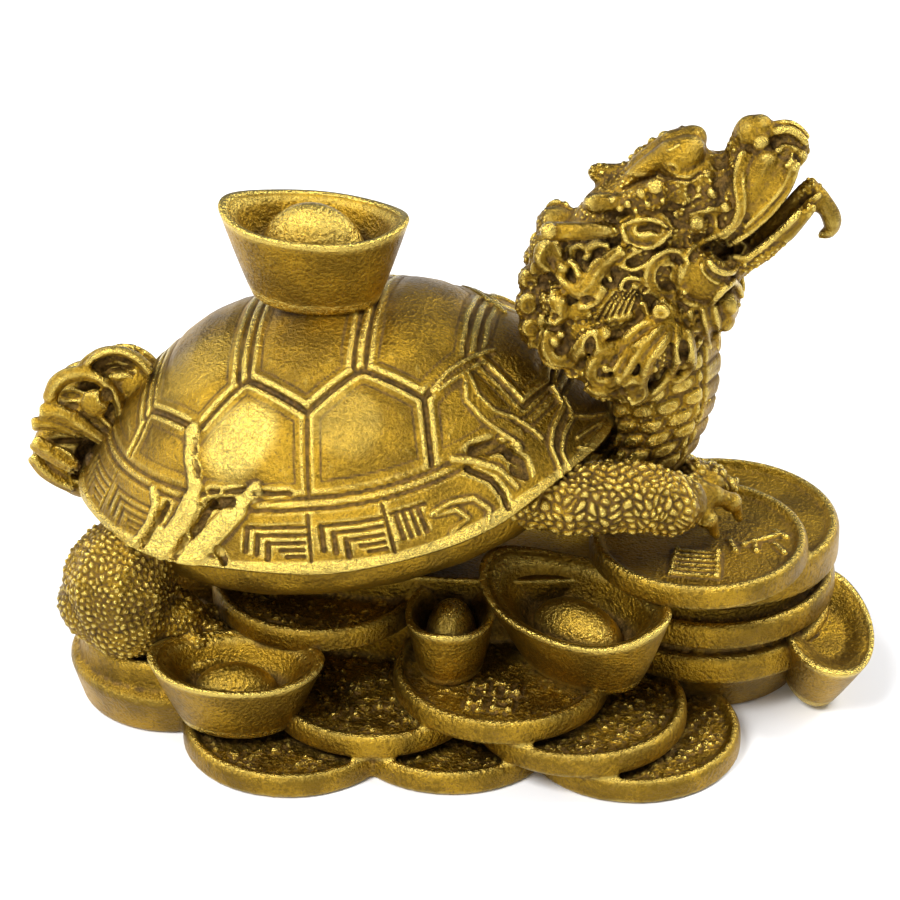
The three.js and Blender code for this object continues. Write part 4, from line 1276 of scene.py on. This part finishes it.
MANE_STRANDS = {
    "c_hook": ([(563, 271), (565, 283), (572, 290), (583, 291), (593, 285), (599, 274), (606, 263),
                (615, 254), (624, 248)], (0.5, 0.5, 0.4), 0.8),
    "c_hook_inner": ([(572, 282), (581, 285), (589, 279), (595, 268), (603, 257)], (0.3, 0.3), 0.9),
    "c_hook_tail": ([(574, 262), (580, 268), (583, 276)], (0.35, 0.3), 0.9),
    "curl_a": ([(545, 247), (541, 257), (546, 267)], (0.5, 0.4), 0.5),
    "curl_b": ([(553, 245), (558, 254), (554, 264)], (0.4, 0.35), 0.4),
    "curl_c": ([(560, 258), (566, 249), (574, 252), (574, 259)], (0.3, 0.3), 0.4),
    "curl_d": ([(577, 249), (585, 246), (591, 252), (587, 259)], (0.3, 0.3), 0.4),
    "curl_e": ([(592, 247), (601, 243), (610, 245)], (0.35, 0.3), 0.4),
    "curl_f": ([(603, 287), (596, 297), (586, 303), (573, 308), (562, 313)], (0.5, 0.45, 0.4), 0.5),
    "curl_g": ([(556, 298), (560, 306), (556, 316)], (0.6, 0.6), 0.6),
    "middle_hook": ([(594, 330), (596, 342), (606, 348), (620, 346), (632, 337), (644, 327), (656, 320),
                    (668, 318)], (0.6, 0.7, 0.6), 0.9),
    "left_hook": ([(551, 335), (550, 347), (558, 356), (570, 355), (580, 346), (588, 336)],
                  (0.5, 0.55, 0.5), 0.8),
    "low_hook": ([(614, 349), (602, 354), (594, 365), (597, 376), (609, 378), (621, 374)],
                 (0.45, 0.5, 0.4), 0.7),
    "low_curl": ([(590, 385), (600, 390), (612, 386), (620, 378)], (0.45, 0.4), 0.5),
    "strand_a": ([(668, 320), (655, 335), (641, 351), (629, 367), (622, 378)], (0.4, 0.35), 0.7),
    "strand_b": ([(672, 326), (660, 345), (649, 359), (641, 374), (636, 388)], (0.4, 0.35), 0.7),
    "strand_c": ([(676, 330), (674, 350), (667, 371), (653, 389), (640, 398)], (0.45, 0.45, 0.35), 0.7),
    "strand_d": ([(684, 333), (688, 352), (685, 368), (675, 377), (664, 375)], (0.4, 0.4), 0.6),
    "strand_e": ([(660, 325), (645, 342), (628, 355), (617, 368)], (0.45, 0.35), 0.6),
    "strand_f": ([(626, 380), (634, 377), (641, 384), (638, 394), (630, 398)], (0.4, 0.35), 0.6),
    "front_hair_a": ([(673, 305), (677, 318), (682, 332), (688, 339)], (0.35, 0.3), 0.4),
    "front_hair_b": ([(690, 310), (693, 322), (691, 334)], (0.3, 0.3), 0.4),
    "front_hair_c": ([(702, 308), (705, 322), (703, 338), (705, 347)], (0.35, 0.35), 0.4),
    "front_hair_d": ([(712, 306), (715, 320), (713, 336), (712, 346)], (0.4, 0.35), 0.4),
    "temple": ([(660, 300), (668, 306), (672, 314), (664, 318), (656, 312)], (0.4, 0.35), 0.5),
    "temple_low": ([(641, 302), (645, 312), (655, 316)], (0.35, 0.35), 0.4),
}
# Curls of the mane: picture place, how far beside the middle plane, size in picture points, where the
# curl starts and which way it winds.
CURLS = [
    ((546, 253), 4.9, 9, 90, 1), ((531, 280), 4.4, 9, 60, 1), ((530, 305), 4.8, 10, 30, 1),
    ((532, 329), 5, 9, 0, 1), ((556, 300), 7, 9, 180, -1), ((560, 341), 7, 12, 20, -1),
    ((581, 352), 7.6, 8, 60, 1), ((577, 371), 7, 9, 90, 1), ((602, 364), 8.4, 10, 40, 1),
    ((599, 390), 7.6, 9, 60, 1), ((624, 391), 8, 9, 150, -1), ((648, 368), 8.6, 6, 0, 1),
    ((548, 322), 5.4, 8, 120, 1), ((584, 316), 7.4, 8, 200, -1), ((662, 312), 7.6, 6, 200, -1),
    ((682, 362), 6.6, 7, 200, -1), ((541, 268), 5, 7, 200, -1), ((538, 342), 5, 7, 200, -1),
]
# Round bosses: picture place, radius, and how far out.
FACE_BOSSES = [
    ((568, 268), 0.8, 0.8), ((713, 192), 0.75, 0.2), ((726, 206), 0.72, 0.2),
    ((697, 222), 0.9, 0.1), ((734, 243), 0.6, 0.3), ((745, 265), 0.35, 0.2),
    ((760, 142), 1.0, 0.2), ((800, 156), 0.8, 0.1), ((655, 187), 0.9, 0.1), ((642, 194), 0.6, 0.2),
    ((629, 203), 0.5, 0.2), ((648, 203), 0.45, 0.2), ((620, 207), 0.45, 0.2), ((661, 200), 0.4, 0.2),
    ((636, 209), 0.4, 0.2), ((612, 200), 0.4, 0.2), ((681, 249), 0.3, 0.3), ((635, 285), 0.6, 0),
    ((690, 236), 0.3, 0.1), ((676, 214), 0.45, 0.1), ((668, 240), 0.35, 0.1), ((683, 208), 0.4, 0.1),
]
MANE_BOSSES = [
    ((549, 231), 0.95, 0.3),
    ((601, 331), 0.8, 0.9), ((557, 341), 0.7, 0.9), ((647, 368), 0.6, 0.6), ((676, 358), 0.4, 0.6),
    ((684, 314), 0.35, 0.4), ((696, 326), 0.5, 0.4), ((695, 341), 0.5, 0.4), ((662, 325), 0.6, 0.6),
    ((573, 364), 0.6, 0.3), ((606, 366), 0.5, 0.6), ((566, 333), 0.5, 0.6),
    ((560, 300), 0.8, 0.5), ((629, 388), 0.6, 0.3),
]
# Smooth places, which are left without grit, and places that are sunk: picture place and half widths in
# picture points; the sunk ones with their depth.
SMOOTH = [
    ((768, 188), (34, 44)), ((700, 282), (24, 24)), ((680, 156), (34, 30)), ((790, 225), (34, 20)),
    ((755, 128), (26, 20)), ((575, 231), (42, 12)), ((603, 203), (24, 12)), ((830, 212), (20, 30)),
    ((645, 231), (24, 15)), ((650, 165), (36, 16)), ((619, 306), (26, 18)), ((728, 312), (12, 26)),
]
SUNK = [
    ((720, 172), (11, 26), 0.6), ((724, 250), (11, 10), 1), ((692, 192), (5, 10), 0.4),
    ((545, 290), (5, 10), 0.7),
    ((588, 302), (9, 6), 0.6), ((552, 318), (8, 5), 0.6), ((590, 346), (6, 10), 0.8),
    ((578, 384), (12, 6), 0.7),
    ((635, 262), (10, 4), 0.3), ((684, 350), (5, 12), 0.6), ((640, 312), (8, 8), 0.3),
]
FAN_LINES = 6
# Cut slits: half width in picture points, depth and path. The first is the slot of the eye, and the last
# ones fan out over the cheek.
SLITS = [
    (4, 0.8, [(640, 229), (650, 227), (658, 230)]),
    (1.5, 0.4, [(656, 173), (668, 178), (690, 180), (701, 171)]),
    (1.6, 0.4, [(672, 205), (688, 207), (700, 199)]),
    (1.4, 0.4, [(622, 188), (640, 182), (655, 176)]),
    (1.6, 0.5, [(628, 246), (645, 252), (662, 248), (672, 238)]),
]
for line in range(FAN_LINES):
    SLITS.append((1.7, 0.5, [(598 + 7 * line, 321 - 2 * line), (606 + 6.4 * line, 306 - 1.4 * line),
                             (617 + 5.6 * line, 293 - 0.8 * line)]))
GRIT_PITCH = 0.72


def head_carving(points, normals):
    """Grit on the ground between the strands, sunk hollows and cut slits."""
    places = pixel_places(points)
    off_core = np.array([core_tree.find_nearest(point)[3] for point in points.tolist()])
    ground = 1 - eased(0.12, 0.4, off_core)
    for middle, reach in SMOOTH:
        ground *= eased(0.7, 1.05, np.linalg.norm((places - middle) / reach, axis=1))
    border, lot = cobbles(points, GRIT_PITCH, 11)
    rise = ground * (0.32 * eased(0, 0.6, border) * lot - 0.26)
    for middle, reach, depth in SUNK:
        rise -= depth * (1 - eased(0.5, 1.1, np.linalg.norm((places - middle) / reach, axis=1)))
    for half_width, depth, path in SLITS:
        rise -= depth * (1 - eased(half_width * 0.4, half_width * 1.3, off_path(places, path)))
    return normals * (rise * (normals @ np.array(towards_camera) * 1.2 + 0.6).clip(0, 1))[:, None]


head = bmesh.new()
head.from_mesh(core_skin)
bpy.data.meshes.remove(core_skin)
MANE_FLUTES = 6.2
MANE_THICK = 0.8
MIDDLE_LIFT = 0.25
CURL_RADII = (0.55, 0.5)
locks = [(drawn(pixels, lift), radii) for pixels, radii, lift in FACE_STRANDS.values()]
for pixels, radii, lift in MANE_STRANDS.values():
    slim = tuple(radius * MANE_THICK for radius in radii)
    for side, path in zip((-1, 0, 1), fluted(pixels, MANE_FLUTES * max(radii))):
        locks.append((drawn(path, lift + (MIDDLE_LIFT if side == 0 else 0)), slim))
for middle, out, size, start, sense in CURLS:
    locks.append(([shown_at(pixel, -out) for pixel in curled(middle, size, start, sense)], CURL_RADII))
rolled(head, locks)
rolled(head, [([mirrored(point) for point in points], radii) for points, radii in locks])
for pixel, radius, lift in [*FACE_BOSSES, *MANE_BOSSES]:
    middle = drawn([pixel], lift)[0]
    lump(head, middle, (radius,) * 3)
    if core_tree.find_nearest(mirrored(middle))[3] < radius + lift:
        lump(head, mirrored(middle), (radius,) * 3)
finished(fused("head", head, HEAD_GRAIN), HEAD_GRAIN, head_carving, soften=1)

# THE PAINTED SHADE
# Each patch of the surface is asked how much of the open air around it is shut out by the casting itself:
# between the coins, under the shell and deep in the mane. The finish paints that share in as shade, in the
# patina's browns.
PATCH = 0.7
REACH_RAYS = 12
REACH = 7
corners = []
first_corner = 0
for mesh, points, _, _, _ in SKINS:
    mesh.calc_loop_triangles()
    corners.append(read(mesh.loop_triangles, "vertices", np.int32, 3) + first_corner)
    first_corner += len(points)
everything = np.concatenate([points for _, points, _, _, _ in SKINS])
casting = BVHTree.FromPolygons(everything.tolist(), np.concatenate(corners).tolist(), all_triangles=True)
turns = np.arange(REACH_RAYS) * math.pi * (3 - math.sqrt(5))
heights = np.sqrt((np.arange(REACH_RAYS) + 0.5) / REACH_RAYS)
spread = np.sqrt(1 - heights ** 2)
fan = np.stack([spread * np.cos(turns), spread * np.sin(turns), heights], 1)
for mesh, points, normals, pairs, counts in SKINS:
    patches = np.concatenate([np.floor(points / PATCH), np.round(normals)], 1).astype(int)
    _, chosen, patch = np.unique(patches, axis=0, return_index=True, return_inverse=True)
    out = normals[chosen]
    aside = np.cross(out, np.where(abs(out[:, 2:]) < 0.9, (0.0, 0.0, 1.0), (1.0, 0.0, 0.0)))
    aside /= np.linalg.norm(aside, axis=1)[:, None]
    rays = (fan[:, 0, None, None] * aside + fan[:, 1, None, None] * np.cross(out, aside)
            + fan[:, 2, None, None] * out)
    starts = points[chosen] + out * 0.2
    blocked = np.zeros(len(chosen))
    for ray_set in rays:
        cast = zip(starts.tolist(), ray_set.tolist())
        hits = [casting.ray_cast(start, ray, REACH)[3] for start, ray in cast]
        blocked += [0 if hit is None else 1 - hit / REACH for hit in hits]
    # The share of blocked rays, stored for the finish to paint as shade.
    occlusion_shade = averaged((blocked / REACH_RAYS)[patch.ravel()][:, None], pairs, counts, 5)
    mesh.attributes.new("occlusion_shade", "FLOAT", "POINT").data.foreach_set("value", occlusion_shade.ravel())
